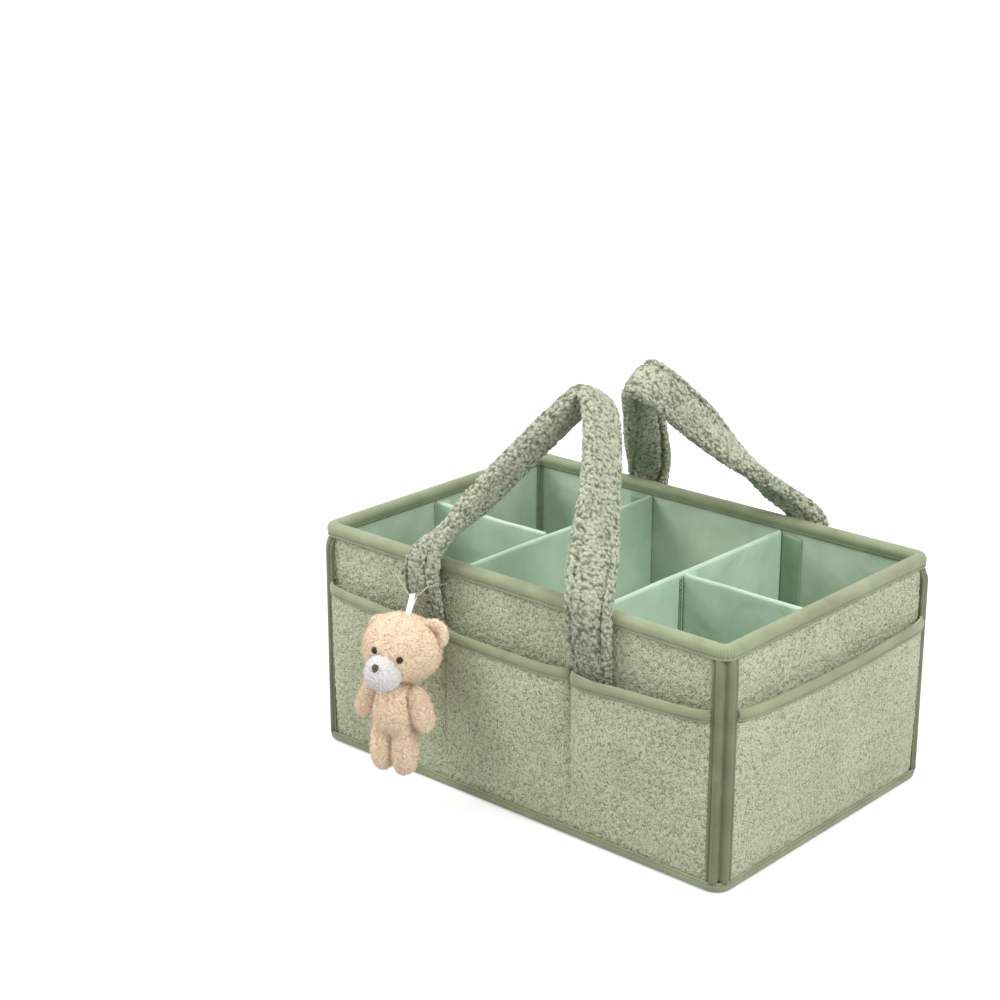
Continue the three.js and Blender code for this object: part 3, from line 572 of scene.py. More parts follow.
rim_setback, rim_radius, rim_drop, rim_wide, rim_round = 0.0018, 0.011, 0.010, 0.0094, 0.0048
rim_bulge = 0.0009
rim_foot = box_height - rim_drop
rim_section = folded(
    lifted([
        (-0.0002, -0.0002), (-0.0005, 0.0003), (-0.0005, 0.0010), (0.0, 0.0016), (0.0, 0.0020),
        (-0.0005, 0.0027), (-rim_bulge, 0.0038),
    ], rim_foot)
    + arc((rim_round - rim_bulge, box_height - rim_round), rim_round, 180, 90, 11)
    + arc((rim_wide - rim_round + 0.0004, box_height - rim_round), rim_round, 90, 0, 11)
    + lifted([
        (rim_wide + 0.0002, 0.0031), (rim_wide - 0.0004, 0.0021), (rim_wide - 0.0002, 0.0012),
        (rim_wide - 0.0002, 0.0),
    ], rim_foot),
    tape_thick,
)
tape_round_box("rim_tape", rim_setback, rim_radius, rim_section, "top_rim_binding")
ring, inwards = round_box(rim_setback, rim_radius)
for face, depth, way in (("outside", -0.0001, -1), ("inside", rim_wide - 0.0003, 1)):
    stitched = raised_to(ring + inwards * depth, rim_foot + 0.0018)
    sew("rim_stitches_" + face, stitched, raised_to(way * inwards, 0), "caddy_box")

base_radius, base_rise = 0.013, 0.008
base_section = folded(
    [(base_lip, 0.0), (0.0075, 0.0)] + arc((0.0028, 0.0028), 0.0028, 270, 180, 7)
    + [(-0.0004, 0.0040), (-0.0005, 0.0050), (0.0, 0.0059), (0.0001, 0.0063), (-0.0002, 0.0070)]
    + [(0.0003, base_rise)],
    tape_thick,
)
tape_round_box("base_tape", 0.0, base_radius, base_section, "base_binding")
ring, inwards = round_box(0.0, base_radius)
sew("base_stitches", raised_to(ring, 0.0061), raised_to(-inwards, 0), "caddy_box")

corner_return, corner_count, seam_count = 0.0032, 60, 40
corner_low, corner_high, corner_tuck = base_rise - 0.0006, rim_foot + 0.0012, 0.0022
corner_heights = np.linspace(corner_low, corner_high, corner_count)
tucked_in = corner_tuck * smoothstep(corner_heights, corner_high - 0.011, corner_high)
corners = {"front_left": (-1, -1), "front_right": (1, -1), "back_right": (1, 1), "back_left": (-1, 1)}
seam_cloth = woven("lining_seam", (0.095, 0.135, 0.085), (0.215, 0.280, 0.190), 0.0005, 0.5, 0.1, 0.1)
# The corners' tape is the olive tape painted darker, as painted shade for the corners.
corner_tape = woven("corner_tape", (0.100, 0.116, 0.058), (0.185, 0.208, 0.118), 0.0006, 0.62, 0.1, 0.2)
roll = [
    (0.0128, 0.0010), (0.0133, 0.0010), (0.0131, 0.0003), (0.0124, 0.0000), (0.0116, 0.0003),
    (0.0110, 0.0011), (0.0105, 0.0011), (0.0099, 0.0003), (0.0089, -0.0003), (0.0077, -0.0003),
    (0.0066, 0.0003), (0.0057, 0.0013), (0.0053, 0.0026), (0.0053, 0.0040),
]
corner_section = folded(roll + [(0.0056, 0.0056)] + [(v, u) for u, v in reversed(roll)], tape_thick * 0.7)
corner_ends = pressed(corner_section)
for place, (sign_x, sign_y) in corners.items():
    sections = np.array([corner_ends, *[corner_section] * corner_count, corner_ends])
    heights = np.concatenate((corner_heights[:1], corner_heights, corner_heights[-1:]))
    to_wall = corner_return * smoothstep(heights, pocket_top - 0.004, pocket_top)
    for depth_axis, edge in ((1, (0, -2, -1)), (0, (2 * len(roll), 2 * len(roll) + 1))):
        for point in edge:
            sections[:, point, depth_axis] += to_wall
    depth = np.concatenate((tucked_in[:1], tucked_in, tucked_in[-1:]))[:, None]
    rows = np.stack((
        sign_x * (box_length / 2 - sections[:, :, 0] - depth),
        sign_y * (box_width / 2 - sections[:, :, 1] - depth),
        np.broadcast_to(heights[:, None], sections.shape[:2]),
    ), axis=2)
    piece = bent_grid(place + "_corner_tape", rows.transpose(1, 0, 2))
    close_tape(piece)
    dress(piece, corner_tape, "caddy_box", "binding_tape")
    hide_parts(place + "_corner_binding")
    for face, (u, v), out in (
        ("long", (0.0108, 0.0010), (0, sign_y, 0)), ("end", (0.0010, 0.0108), (sign_x, 0, 0)),
    ):
        line = [
            (sign_x * (box_length / 2 - u - d), sign_y * (box_width / 2 - v - d), z)
            for z, d in zip(corner_heights, tucked_in)
        ]
        sew(f"{place}_corner_stitches_{face}", line, [out] * corner_count, "caddy_box")
    hidden, shown = 0.0130, 0.0098
    strip = [(hidden, shown - 0.0003), (shown + 0.0012, shown + 0.0002), (shown + 0.0005, shown + 0.0005),
             (shown + 0.0002, shown + 0.0012), (shown - 0.0003, hidden)]
    rows = [
        np.stack((
            np.full(seam_count, sign_x * (box_length / 2 - u)),
            np.full(seam_count, sign_y * (box_width / 2 - v)),
            np.linspace(floor_top, wall_top - 0.002, seam_count),
        ), axis=1)
        for u, v in (strip if sign_x * sign_y > 0 else strip[::-1])
    ]
    seam = bent_grid(place + "_lining_seam", np.array(rows))
    apply_modifier(seam, "SOLIDIFY", thickness=0.0006, offset=0)
    dress(seam, seam_cloth, "caddy_box", "lining")

binding_foot, tape_round, middle_drop = tape_thick - 0.009, 0.0013, 0.0022
seat = pocket_face + pocket_thick
binding_section = folded(
    lifted([
        (0.0003, 0.0), (0.0, 0.0009), (0.0003, 0.0016), (0.0004, 0.0020), (-0.0004, 0.0030),
        (-0.0009, 0.0045), (-0.0009, 0.0060), (-0.0004, 0.0073),
    ], binding_foot)
    + arc((tape_round, tape_thick - tape_round), tape_round, 170, 90, 6)
    + arc((seat - tape_round, tape_thick - tape_round), tape_round, 90, 0, 6)
    + [(seat, -0.0012), (seat, -0.0030)],
    tape_thick * 0.8,
)
binding_ends = pressed(binding_section)
for side, wall in walls.items():
    ends = (-wall["run"], *wall["seams"], wall["run"])
    for number, (start, end) in enumerate(zip(ends[:-1], ends[1:])):
        x = np.linspace(start + 0.0004, end - 0.0004, round((end - start) / 0.003))
        x = np.concatenate((x[:1], x, x[-1:]))
        lower = middle_drop * (number == 2) * (1 - smoothstep(x, start, start + 0.05))
        lower = lower + middle_drop * (number == 0) * smoothstep(x, end - 0.05, end)
        out = stand_out(x, np.ones(len(x)), wall)
        sections = np.array([binding_ends, *[binding_section] * (len(x) - 2), binding_ends])
        rows = np.stack((
            np.broadcast_to(x[:, None], sections.shape[:2]), sections[:, :, 0] - wall["half"] - out[:, None],
            sections[:, :, 1] + (pocket_edge(x, wall) + sewing_gap - lower)[:, None],
        ), axis=2)
        piece = bent_grid(f"{side}_pocket_tape_{number}", turned(rows.transpose(1, 0, 2), wall["turn"]))
        close_tape(piece)
        dress(piece, tape, "caddy_box", "binding_tape")
        stitched = np.stack((
            x, 0.0002 - wall["half"] - out,
            pocket_edge(x, wall) + sewing_gap + binding_foot + 0.0020 - lower,
        ), axis=1)
        facing = turned(np.array([[0.0, -1.0, 0.0]] * len(x)), wall["turn"])
        sew(f"{side}_pocket_stitches_{number}", turned(stitched, wall["turn"]), facing, "caddy_box")
    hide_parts(side + "_pocket_binding")

# The handles: padded straps of long-looped pile, sewn flat behind the pockets' edges and arched over the box.
# Each is one tube of cloth over a filling, stitched through in two channels, one of them its deeper seam,
# and it bends where it leaves the rim.
strap_wide, strap_thick, leg_x = 0.035, 0.014, 0.079
strap_tuck, sewn_count, arch_count = 0.014, 60, 120
strap_step, stand_off, wall_outside = 0.0009, 0.002, box_width / 2 - wall_face
hinge_y, hinge_z = wall_outside + stand_off + strap_thick / 2, box_height + 0.0035
# deep is painted shade for the gaps between the curls, light is painted light on their tops, mid is the
# pile's own sage.
sherpa_colours = {
    "deep": (0.150, 0.170, 0.095), "mid": (0.350, 0.384, 0.265), "light": (0.490, 0.530, 0.400),
}
sherpa = boucle("sage_sherpa", sherpa_colours, 0.0025, 0.9)
handles = {
    "front": {
        "side": -1, "rise": 0.149, "lean": 40, "shift": -0.001, "twist": 76,
        "seam": -1, "seam_ends": (0.0, 0.2),
        "left": {
            "inwards": 0.0135, "up": 0.009, "reach": 0.0115,
            "turn": (0.0, 0.42), "early": 14, "slant": 0.5,
        },
        "right": {
            "inwards": 0.026, "up": 0.063, "reach": 0.023,
            "turn": (0.0, 0.42), "early": 14, "slant": 0.2,
        },
    },
    "back": {
        "side": 1, "rise": 0.1545, "lean": 43, "shift": -0.005, "twist": 82,
        "seam": 1, "seam_ends": (1.0, 1.2),
        "left": {
            "inwards": 0.0155, "up": 0.016, "reach": 0.0125,
            "turn": (0.08, 0.68), "early": 10, "slant": 0.3,
        },
        "right": {
            "inwards": 0.035, "up": 0.0095, "reach": 0.025,
            "turn": (0.13, 0.71), "early": 0, "slant": 0.5,
        },
    },
}


def bezier(points, share):
    a, b, c, d = np.array(points)
    share = share[:, None]
    rest = 1 - share
    return a * rest ** 3 + 3 * b * share * rest ** 2 + 3 * c * share ** 2 * rest + d * share ** 3


def strap_end_stations():
    """Height, centre's distance from the wall, half thickness and half width up a sewn-down end."""
    edge = pocket_edge(np.array([leg_x]), walls["front"])[0] + sewing_gap + tape_thick
    padding = rim_foot - edge
    knots = np.array([
        (edge - strap_tuck, 0.0003, 0.0020, 0.0160),
        (edge + tape_thick, 0.0003, 0.0026, 0.0165),
        (edge + 0.35 * padding, stand_off / 2, 0.65 * strap_thick, strap_wide / 2),
        (edge + 0.65 * padding, stand_off, 0.9 * strap_thick, strap_wide / 2),
        (hinge_z - strap_thick / 2, stand_off, strap_thick, strap_wide / 2),
    ])
    z = np.linspace(knots[0, 0], knots[-1, 0], sewn_count)
    gap, thick, half = (np.interp(z, knots[:, 0], knots[:, n]) for n in (1, 2, 3))
    return z, gap + thick / 2, thick / 2, half


def softened(values, reach):
    """Values along a line, averaged with their neighbours."""
    weight = np.exp(-0.5 * np.linspace(-2.5, 2.5, 2 * reach + 1) ** 2)
    weight /= weight.sum()
    padded = np.concatenate((values[:1].repeat(reach, 0), values, values[-1:].repeat(reach, 0)))
    return np.stack([np.convolve(padded[:, n], weight, mode="valid") for n in range(values.shape[1])], axis=1)


def strap_line(handle):
    """Stations along a strap: centre, wide direction, thick direction, half width, half thickness, climb."""
    z, from_wall, half_thick, half_wide = strap_end_stations()
    side, shift, rise = handle["side"], handle["shift"], handle["rise"]
    lean, twist = math.radians(handle["lean"]), math.radians(handle["twist"])
    outward = np.array((0, side * math.cos(lean), math.sin(lean)))
    upward = np.array((0, -side * math.sin(lean), math.cos(lean)))
    climb = np.linspace(0, 1, arch_count)
    halves = []
    for sign, leg in ((-1, handle["left"]), (1, handle["right"])):
        sewn = np.stack((np.full(sewn_count, sign * leg_x), side * (wall_outside + from_wall), z), axis=1)
        arch = bezier((
            (sign * leg_x, 0), (sign * (leg_x - leg["inwards"]), leg["up"]),
            (shift + sign * leg["reach"], rise), (shift, rise),
        ), climb)
        centre = (0, side * hinge_y, hinge_z) + np.outer(arch[:, 0], (1, 0, 0)) + np.outer(arch[:, 1], upward)
        square = smoothstep(climb, 0, leg["slant"])
        along = unit((1 - square[:, None]) * (0, 1) + square[:, None] * unit(np.gradient(arch, axis=0)))
        inward = np.outer(along[:, 1], (1, 0, 0)) - np.outer(along[:, 0], upward)
        early = math.radians(leg["early"])
        turn = -sign * (early + smoothstep(climb, *leg["turn"]) * (twist - early))
        wide = inward * np.cos(turn)[:, None] + outward * np.sin(turn)[:, None]
        sewn_turn = -sign * early * smoothstep(z, rim_foot - 0.04, hinge_z)
        sewn_wide = np.stack((np.cos(sewn_turn), side * np.sin(sewn_turn), 0 * z), axis=1)
        halves.append(np.column_stack((
            np.concatenate((sewn, centre)), np.concatenate((sewn_wide, wide)),
            np.concatenate((half_thick, np.full(arch_count, strap_thick / 2))),
            np.concatenate((half_wide, np.full(arch_count, strap_wide / 2))),
            np.concatenate((np.zeros(sewn_count), climb)), np.concatenate((np.zeros(sewn_count), square)),
        )))
    rising, falling = halves[0], halves[1][::-1][1:]
    falling[:, 3:6] *= -1
    table = np.concatenate((rising, falling))
    length = distance_along(table[:, :3])
    table = between(table, length, np.linspace(0, length[-1], round(length[-1] / strap_step)))
    near_root = 1 - smoothstep(table[:, 8], 0.10, 0.30)[:, None]
    table = near_root * softened(table, 28) + (1 - near_root) * softened(table, 12)
    centre, wide = table[:, :3], table[:, 3:6]
    way = unit(np.gradient(centre, axis=0))
    wide = unit(wide - way * (table[:, 9] * (wide * way).sum(1))[:, None])
    thick = unit(np.cross(way, wide)) * side
    return centre, wide, thick, table[:, 7], table[:, 6], table[:, 8]


def fuzz(piece, count, length, seed, thick, bare=2.0):
    """Stands thin loose fibres, each a three-sided spike, on random spots of a piece's cloth.

    Faces that look to the rear by more than bare, as where the piece is pressed on the box, get none.
    """
    draw = np.random.default_rng(seed)
    piece.data.calc_loop_triangles()
    corners = np.empty(len(piece.data.loop_triangles) * 3, np.int32)
    piece.data.loop_triangles.foreach_get("vertices", corners)
    corners = corners.reshape(-1, 3)
    points, normals = points_of(piece), normals_of(piece)
    a, b, c = (points[corners[:, n]] for n in range(3))
    facing = np.cross(b - a, c - a)
    area = np.linalg.norm(facing, axis=1)
    area *= facing[:, 1] <= bare * area
    chosen = corners[draw.choice(len(corners), count, p=area / area.sum())]
    share = draw.dirichlet((1, 1, 1), count)[:, :, None]
    root, out = (points[chosen] * share).sum(1), (normals[chosen] * share).sum(1)
    lean = unit(out + 0.9 * unit(draw.normal(size=(count, 3))))
    side = unit(np.cross(lean, unit(draw.normal(size=(count, 3)))))
    other = np.cross(lean, side)
    tip = root + lean * (length * draw.uniform(0.5, 1.0, count))[:, None]
    foot = [
        root - 0.0002 * lean + thick * (side * math.cos(turn) + other * math.sin(turn))
        for turn in (0, 2 * math.pi / 3, 4 * math.pi / 3)
    ]
    spots = np.stack((*foot, tip), axis=1).reshape(-1, 3)
    first = 4 * np.arange(count)[:, None]
    spike = ((0, 2, 1), (0, 1, 3), (1, 2, 3), (2, 0, 3))
    faces = np.concatenate([first + np.array(face) for face in spike])
    mesh = bpy.data.meshes.new(piece.name + "_fibres")
    mesh.from_pydata(spots.tolist(), [], faces.tolist())
    # The fibres get high pile values, so they take the painted-light colours of the nubs' tops.
    pile = mesh.attributes.new("pile", "FLOAT", "POINT")
    pile.data.foreach_set("value", np.repeat(draw.uniform(0.6, 1.0, count), 4).astype(np.float32))
    fibres = bpy.data.objects.new(mesh.name, mesh)
    bpy.context.collection.objects.link(fibres)
    select(piece, fibres)
    bpy.ops.object.join()


round_count = 104
angle = np.linspace(0, 2 * math.pi, round_count + 1)
section_wide = np.sign(np.cos(angle)) * np.abs(np.cos(angle)) ** 0.6
section_thick = np.sign(np.sin(angle)) * np.abs(np.sin(angle)) ** 0.6
channel_at, channel_width = 0.0112, 0.0016
inner_groove, outer_groove, seam_groove = 0.30, 0.16, 0.34
strap_pitch, strap_low, strap_high = 0.0025, -0.0010, 0.0011
strap_fibres, fibre_length, fibre_thick = 14000, 0.0017, 0.00018
pile_stands, painted_shade_fade, bend_from, bend_to = (0.124, 0.142), (0.140, 0.205), 0.170, 0.198
for seed, (side, handle) in enumerate(handles.items()):
    centre, wide, thick, half_wide, half_thick, climb = strap_line(handle)
    across = half_wide[:, None] * section_wide
    notch = np.exp(-((np.abs(across) - channel_at) / channel_width) ** 2)
    padded_part = smoothstep(half_thick, 0.002, 0.005)[:, None]
    outer_face = (section_thick > 0) * 1.0
    outer_depth = outer_groove + outer_groove * (1 - smoothstep(climb, 0.0, 0.4))
    depth = inner_groove * (1 - outer_face) + outer_face * outer_depth[:, None]
    seam = (np.sign(across) == handle["seam"]) * (1 - smoothstep(climb, *handle["seam_ends"]))[:, None]
    depth = depth + seam_groove * seam
    crown = 1 - 0.10 * (across / half_wide[:, None]) ** 4
    raised = half_thick[:, None] * section_thick * (crown - depth * notch * padded_part)
    rings = centre[:, None] + across[:, :, None] * wide[:, None] + raised[:, :, None] * thick[:, None]
    first, last = (end[:, None].repeat(round_count + 1, 1) for end in (centre[:1], centre[-1:]))
    strap = bent_grid(side + "_handle_strap", np.concatenate((first, rings, last)))
    close_tape(strap)
    strap_height = points_of(strap)[:, 2]
    amount = 0.25 + 0.75 * smoothstep(strap_height, *pile_stands)
    raise_pile(strap, strap_pitch, strap_low, strap_high, 51 + seed, amount)
    # Painted shade: the pile values are cut low on the strap, darkest towards the pocket's edge and back to
    # full above the top of the fade.
    pile_with_painted_shade = np.empty(len(strap_height), np.float32)
    strap.data.attributes["pile"].data.foreach_get("value", pile_with_painted_shade)
    pile_with_painted_shade *= 0.62 + 0.38 * smoothstep(strap_height, *painted_shade_fade)
    strap.data.attributes["pile"].data.foreach_set("value", pile_with_painted_shade)
    fuzz(strap, strap_fibres, fibre_length, 61 + seed, fibre_thick)
    strap.data.materials.append(sherpa)
    stands_for = ("left_strap_end", "right_strap_end", "handle_cover", "handle_foam_core")
    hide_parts(*[f"{side}_{node}" for node in stands_for])
    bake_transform(strap)

# The divider inserts: mint cloth sewn as a flat sleeve over a board, a long panel across the box
# and a short one from it to the end wall. Loose flaps at their ends lie against the walls.
divider_x, divider_y, divider_half = 0.063, -0.008, 0.0023
divider_foot, divider_top = 0.0059, 0.1695
long_end, short_root, short_tip = floor_y, 0.0666, floor_x
flap_length, flap_thick, flap_seat, flap_wave, flap_droop = 0.018, 0.0009, 0.0006, 0.0006, 0.002
divider_wave, divider_rows, quarter = 0.0005, 40, np.linspace(0, math.pi / 2, 6)
sides = (("left", -1), ("right", 1))
# The long dividers' end flaps wear a darker copy of the mint cloth: painted shade for the flaps' turned-away
# side.
flap_cloth = woven("flap_cloth", (0.150, 0.250, 0.145), (0.245, 0.360, 0.235), 0.0005, 0.48, 0.3, 0.1)


def sleeve(name, start, end, count, body):
    """An upright panel from start to end in plan, rounded over its top fold and waved a little."""
    start, end = np.array(start), np.array(end)
    way, length = unit(end - start), np.linalg.norm(end - start)
    side = np.array((way[1], -way[0]))
    heights = np.concatenate((
        np.linspace(divider_foot, divider_top - divider_half, divider_rows),
        divider_top - divider_half + divider_half * np.sin(quarter[1:]),
    ))
    half = np.concatenate((np.full(divider_rows, divider_half), divider_half * np.cos(quarter[1:])))
    heights = np.concatenate((heights, heights[::-1][1:], heights[:1]))
    half = np.concatenate((half, -half[::-1][1:], half[:1]))
    near_end = divider_half * (1 - np.cos(quarter))
    middle = np.linspace(divider_half, length - divider_half, count)[1:-1]
    stops = np.concatenate((near_end, middle, length - near_end[::-1]))
    shares = stops / length
    taper = np.sqrt(1 - (1 - np.minimum(np.minimum(stops, length - stops) / divider_half, 1)) ** 2)
    rows = []
    for height, out in zip(heights, half):
        up = (height - divider_foot) / (divider_top - divider_foot)
        waves = np.sin(shares * 7.3 + 2 * up) * up + 0.4 * np.sin(shares * 17 + 5 * up)
        bow = divider_wave * np.sin(shares * math.pi) * waves
        plan = start + np.outer(shares, end - start) + np.outer(out * taper + bow, side)
        sag = 0.0003 * np.sin(shares * math.pi) * up ** 4
        rows.append(raised_to(plan, height - sag))
    piece = bent_grid(name, np.array(rows))
    close_tape(piece)
    dress(piece, mint_cloth, body, "lining")
    return piece


def flap(name, root, way, off, material, body):
    """A loose flap: it leaves a panel at its root, runs along way, and stands off at its free edge."""
    root, way, off = np.array(root), np.array(way), np.array(off)
    shares = np.linspace(0, 1, 14)
    heights = np.linspace(divider_foot + 0.002, divider_top - 0.0015, 50)
    rows = []
    for height in heights:
        up = (height - divider_foot) / (divider_top - divider_foot)
        lift = flap_wave * np.sin(shares * 5 + 6 * up) * shares
        plan = root + np.outer(shares * flap_length, way) + np.outer(np.maximum(lift, -0.0002), off)
        rows.append(raised_to(plan, height - flap_droop * shares ** 2 * up))
    piece = bent_grid(name, np.array(rows))
    apply_modifier(piece, "SOLIDIFY", thickness=flap_thick, offset=0)
    dress(piece, material, body, "lining")


for side, sign in sides:
    x, insert, fold = sign * divider_x, side + "_insert", side + "_fold"
    long_panel = sleeve(side + "_long_divider", (x, -long_end), (x, long_end), 90, insert)
    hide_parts(side + "_long_divider_cover")
    for end, y in (("front", -long_end), ("back", long_end)):
        inwards = -math.copysign(1, y)
        flap(
            f"{side}_long_divider_{end}_flap", (x + sign * divider_half, y + inwards * flap_seat),
            (sign, 0), (0, inwards), flap_cloth, insert,
        )
    tee = np.array((x + sign * (divider_half + 0.0003), divider_y - divider_half - 0.0016))
    sew(
        side + "_tee_stitches", [(*tee, divider_foot + 0.002), (*tee, divider_top - 0.003)],
        [(sign, 0, 0)] * 2, insert, thread_radius=0.0004,
    )
    flap(
        side + "_tee_flap", (x + sign * (divider_half + flap_seat), divider_y - divider_half),
        (0, 1), (sign, 0), mint_cloth, insert,
    )
    short_panel = sleeve(
        side + "_short_divider", (sign * short_root, divider_y), (sign * short_tip, divider_y), 50, fold,
    )
    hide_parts(side + "_short_divider_cover")
    flap(
        side + "_short_divider_flap", (sign * (short_tip - flap_seat), divider_y - divider_half),
        (0, 1), (-sign, 0), mint_cloth, fold,
    )

# The charm's ball chain: nickel-plated beads on a wire, looped round the front left strap end
# and closed by a small sleeve. A white ribbon hangs on its lowest bead and carries the bear.
bead, bead_pitch, chain_wire = 0.0014, 0.0020, 0.00055
chain_rise, chain_front = rim_foot - 0.007, hinge_y + strap_thick / 2 + sewing_gap + bead
charm_at = (0.005 - leg_x, -chain_front - 0.0056, chain_rise - 0.011)
beside, near = strap_wide / 2 + bead / 2 + 0.0013, strap_wide / 2 - bead
behind, in_front = wall_outside + sewing_gap + bead / 2, hinge_y + strap_thick / 2
chain_bend, charm_bend = 1.2 * bead, 6 * bead
chain_corners = [
    ((-leg_x - beside, -behind, chain_rise), chain_bend), ((beside - leg_x, -behind, chain_rise), chain_bend),
    ((beside - leg_x, -in_front, chain_rise + bead), chain_bend),
    ((near - leg_x, -chain_front, chain_rise + bead), chain_bend), (charm_at, charm_bend),
    ((-leg_x - near, -chain_front, chain_rise + bead), chain_bend),
    ((-leg_x - beside, -in_front, chain_rise + bead), chain_bend),
]


def metal(name, colour, roughness):
    """Plated metal with faint handling marks."""
    material, plate, place = new_finish(name)
    marks = noise(material, place, 1900, 3)
    dulled = {"Value": marks, "To Min": roughness * 0.6, "To Max": roughness * 1.5}
    set_inputs(material, plate, {
        "Base Color": colours_of(material, marks, (0, [c * 0.82 for c in colour]), (1, colour)),
        "Roughness": add_node(material, "MapRange", dulled).outputs[0], "Metallic": 1,
    })
    return material


def rounded_loop(corners, step=0.0001):
    """Places along a closed line through corners, rounded off over each corner's bend."""
    count = len(corners)
    spots = [np.array(place) for place, _ in corners]
    line = []
    for n in range(count):
        here, before, after = spots[n], spots[n - 1], spots[(n + 1) % count]
        bend = corners[n][1]
        enter = here + (before - here) * min(bend / np.linalg.norm(before - here), 0.5)
        leave = here + (after - here) * min(bend / np.linalg.norm(after - here), 0.5)
        for share in np.linspace(0, 1, 40)[:, None]:
            line.append(((1 - share) ** 2 * enter + 2 * share * (1 - share) * here + share ** 2 * leave))
    line = np.array(line + line[:1])
    along = distance_along(line)
    return between(line, along, np.linspace(0, along[-1], round(along[-1] / step))), along[-1]


nickel = metal("nickel_plate", (0.50, 0.46, 0.35), 0.3)
chain_line, chain_length = rounded_loop(chain_corners)
bead_count = round(chain_length / bead_pitch)
bead_at = chain_line[(np.arange(bead_count) / bead_count * len(chain_line)).astype(int)]
parts = []
for place in bead_at:
    bpy.ops.mesh.primitive_uv_sphere_add(segments=16, ring_count=10, radius=bead / 2, location=place)
    parts.append(bpy.context.object)
wire_line = np.concatenate((chain_line[::10], chain_line[:1]))
wire_way = unit(np.gradient(wire_line, axis=0))
wire_side = unit(np.cross(wire_way, (0.31, 0.17, 0.93)))
wire_up = np.cross(wire_way, wire_side)
chain = bent_grid("charm_chain", tube(wire_line, wire_side, wire_up, chain_wire / 2, 8))
close_tape(chain)
select(chain, *parts)
bpy.ops.object.join()
bpy.ops.object.shade_smooth()
dress(chain, nickel, "caddy_box", "steel")
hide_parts("ball_chain")

clasp_from, clasp_to = np.array(chain_corners[6][0]), np.array(chain_corners[0][0])
clasp_way, clasp_middle = unit(clasp_to - clasp_from), (clasp_from + clasp_to) / 2
clasp_side = unit(np.cross(clasp_way, (1.0, 0, 0)))
clasp_up = np.cross(clasp_way, clasp_side)
clasp_half = [(1.45, 0.0), (1.7, 1.2), (1.6, 2.4), (1.35, 2.85), (1.05, 3.0)]
clasp_bore = [(1.0, 0.0), (1.05, -3.0)]
clasp_rows = [(radius, -along) for radius, along in reversed(clasp_half[1:])] + clasp_half + clasp_bore
clasp = bent_grid("chain_sleeve", np.array([
    tube(clasp_middle + clasp_way * along / 1000, clasp_side, clasp_up, radius / 1000, 32)
    for radius, along in clasp_rows
]))
close_tape(clasp)
dress(clasp, nickel, "caddy_box", "steel")
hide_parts("chain_clasp")

satin = woven("white_satin", (0.78, 0.78, 0.76), (0.90, 0.90, 0.88), 0.00035, 0.38, 0.05, 0.3)
ribbon_seat, ribbon_foot = np.array((-0.0744, -0.1469, 0.1545)), np.array((-0.0686, -0.1580, 0.1471))
ribbon_eye, ribbon_half = 0.0020, 0.0022
fall_length, fall = np.linalg.norm(ribbon_foot - ribbon_seat), unit(ribbon_foot - ribbon_seat)
ribbon_way = unit(np.array((1.0, 0, 0)) - fall * fall[0])
lift = np.cross(ribbon_way, fall)
loop = [(fall_length + 0.0030, 0.0004), (fall_length * 0.75, 0.0006), (fall_length * 0.45, 0.0010)]
loop += [(ribbon_eye * math.cos(a), ribbon_eye * math.sin(a)) for a in np.radians(np.linspace(50, 310, 20))]
loop += [(along, -off) for along, off in reversed(loop[:3])]
loop_line = np.array([ribbon_seat + fall * along + lift * off for along, off in loop])
ribbon = bent_grid("charm_ribbon", np.array([
    loop_line + ribbon_way * x for x in np.linspace(-ribbon_half, ribbon_half, 9)
]))
apply_modifier(ribbon, "SOLIDIFY", thickness=0.0005, offset=0)
apply_modifier(ribbon, "SUBSURF", levels=2, render_levels=2)
dress(ribbon, satin, "ribbon", "satin")
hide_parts("ribbon_loop")

# The bear: stuffed plush pieces sewn to one another, a white felt muzzle, bead eyes and an embroidered nose.
# Each piece is a sewn bag with soft seams, and short fibres stand out of its cloth.
bear_at, bear_hang, bear_turn = np.array((-0.0696, -0.1635, 0.1220)), math.radians(2.6), math.radians(15)
face_tilt = math.radians(8)
head_half, torso_half = np.array((0.0290, 0.0250, 0.0245)), np.array((0.0170, 0.0150, 0.0225))
leg_half, arm_half = np.array((0.0086, 0.0105, 0.0235)), np.array((0.0076, 0.0080, 0.0170))
ear_half, muzzle_half = np.array((0.0115, 0.0055, 0.0115)), np.array((0.0138, 0.0140, 0.0135))
nose_half, eye_radius = np.array((0.0023, 0.0022, 0.0038)), 0.0026
head_at = np.zeros(3)
torso_at = head_at + head_half * (0, -0.31, -1.776)
leg_at = torso_at + torso_half * (0.518, -0.06, -1.31)
arm_at = torso_at + torso_half * (1.27, -0.12, 0.13)
left_ear, right_ear = np.array((0.7, 0.23, 0.28)), np.array((0.786, 0.23, 0.537))
ear_at = {"left": head_at + head_half * left_ear, "right": head_at + head_half * right_ear}
muzzle_at = head_at + head_half * (-0.02, -0.94, -0.485)
nose_at = muzzle_at + muzzle_half * (-0.09, -0.86, 0.5)
eye_at = head_at + head_half * (0.359, -0.92, 0.08)
plush_voxel, plush_pitch, plush_pile, plush_fibre, rear_bare = 0.0011, 0.0019, 0.0006, 0.00013, 0.35
# In the plush and felt tables, deep is painted shade in the gaps of the pile, light is painted light on its
# tops, mid is the cloth's own colour.
plush_colours = {
    "deep": (0.700, 0.500, 0.325), "mid": (0.880, 0.690, 0.500), "light": (0.930, 0.785, 0.620),
}
felt_colours = {"deep": (0.60, 0.585, 0.575), "mid": (0.68, 0.665, 0.655), "light": (0.75, 0.735, 0.725)}
plush = boucle("cream_plush", plush_colours, 0.0013, 0.45)
felt = boucle("white_felt", felt_colours, 0.0009, 0.25)


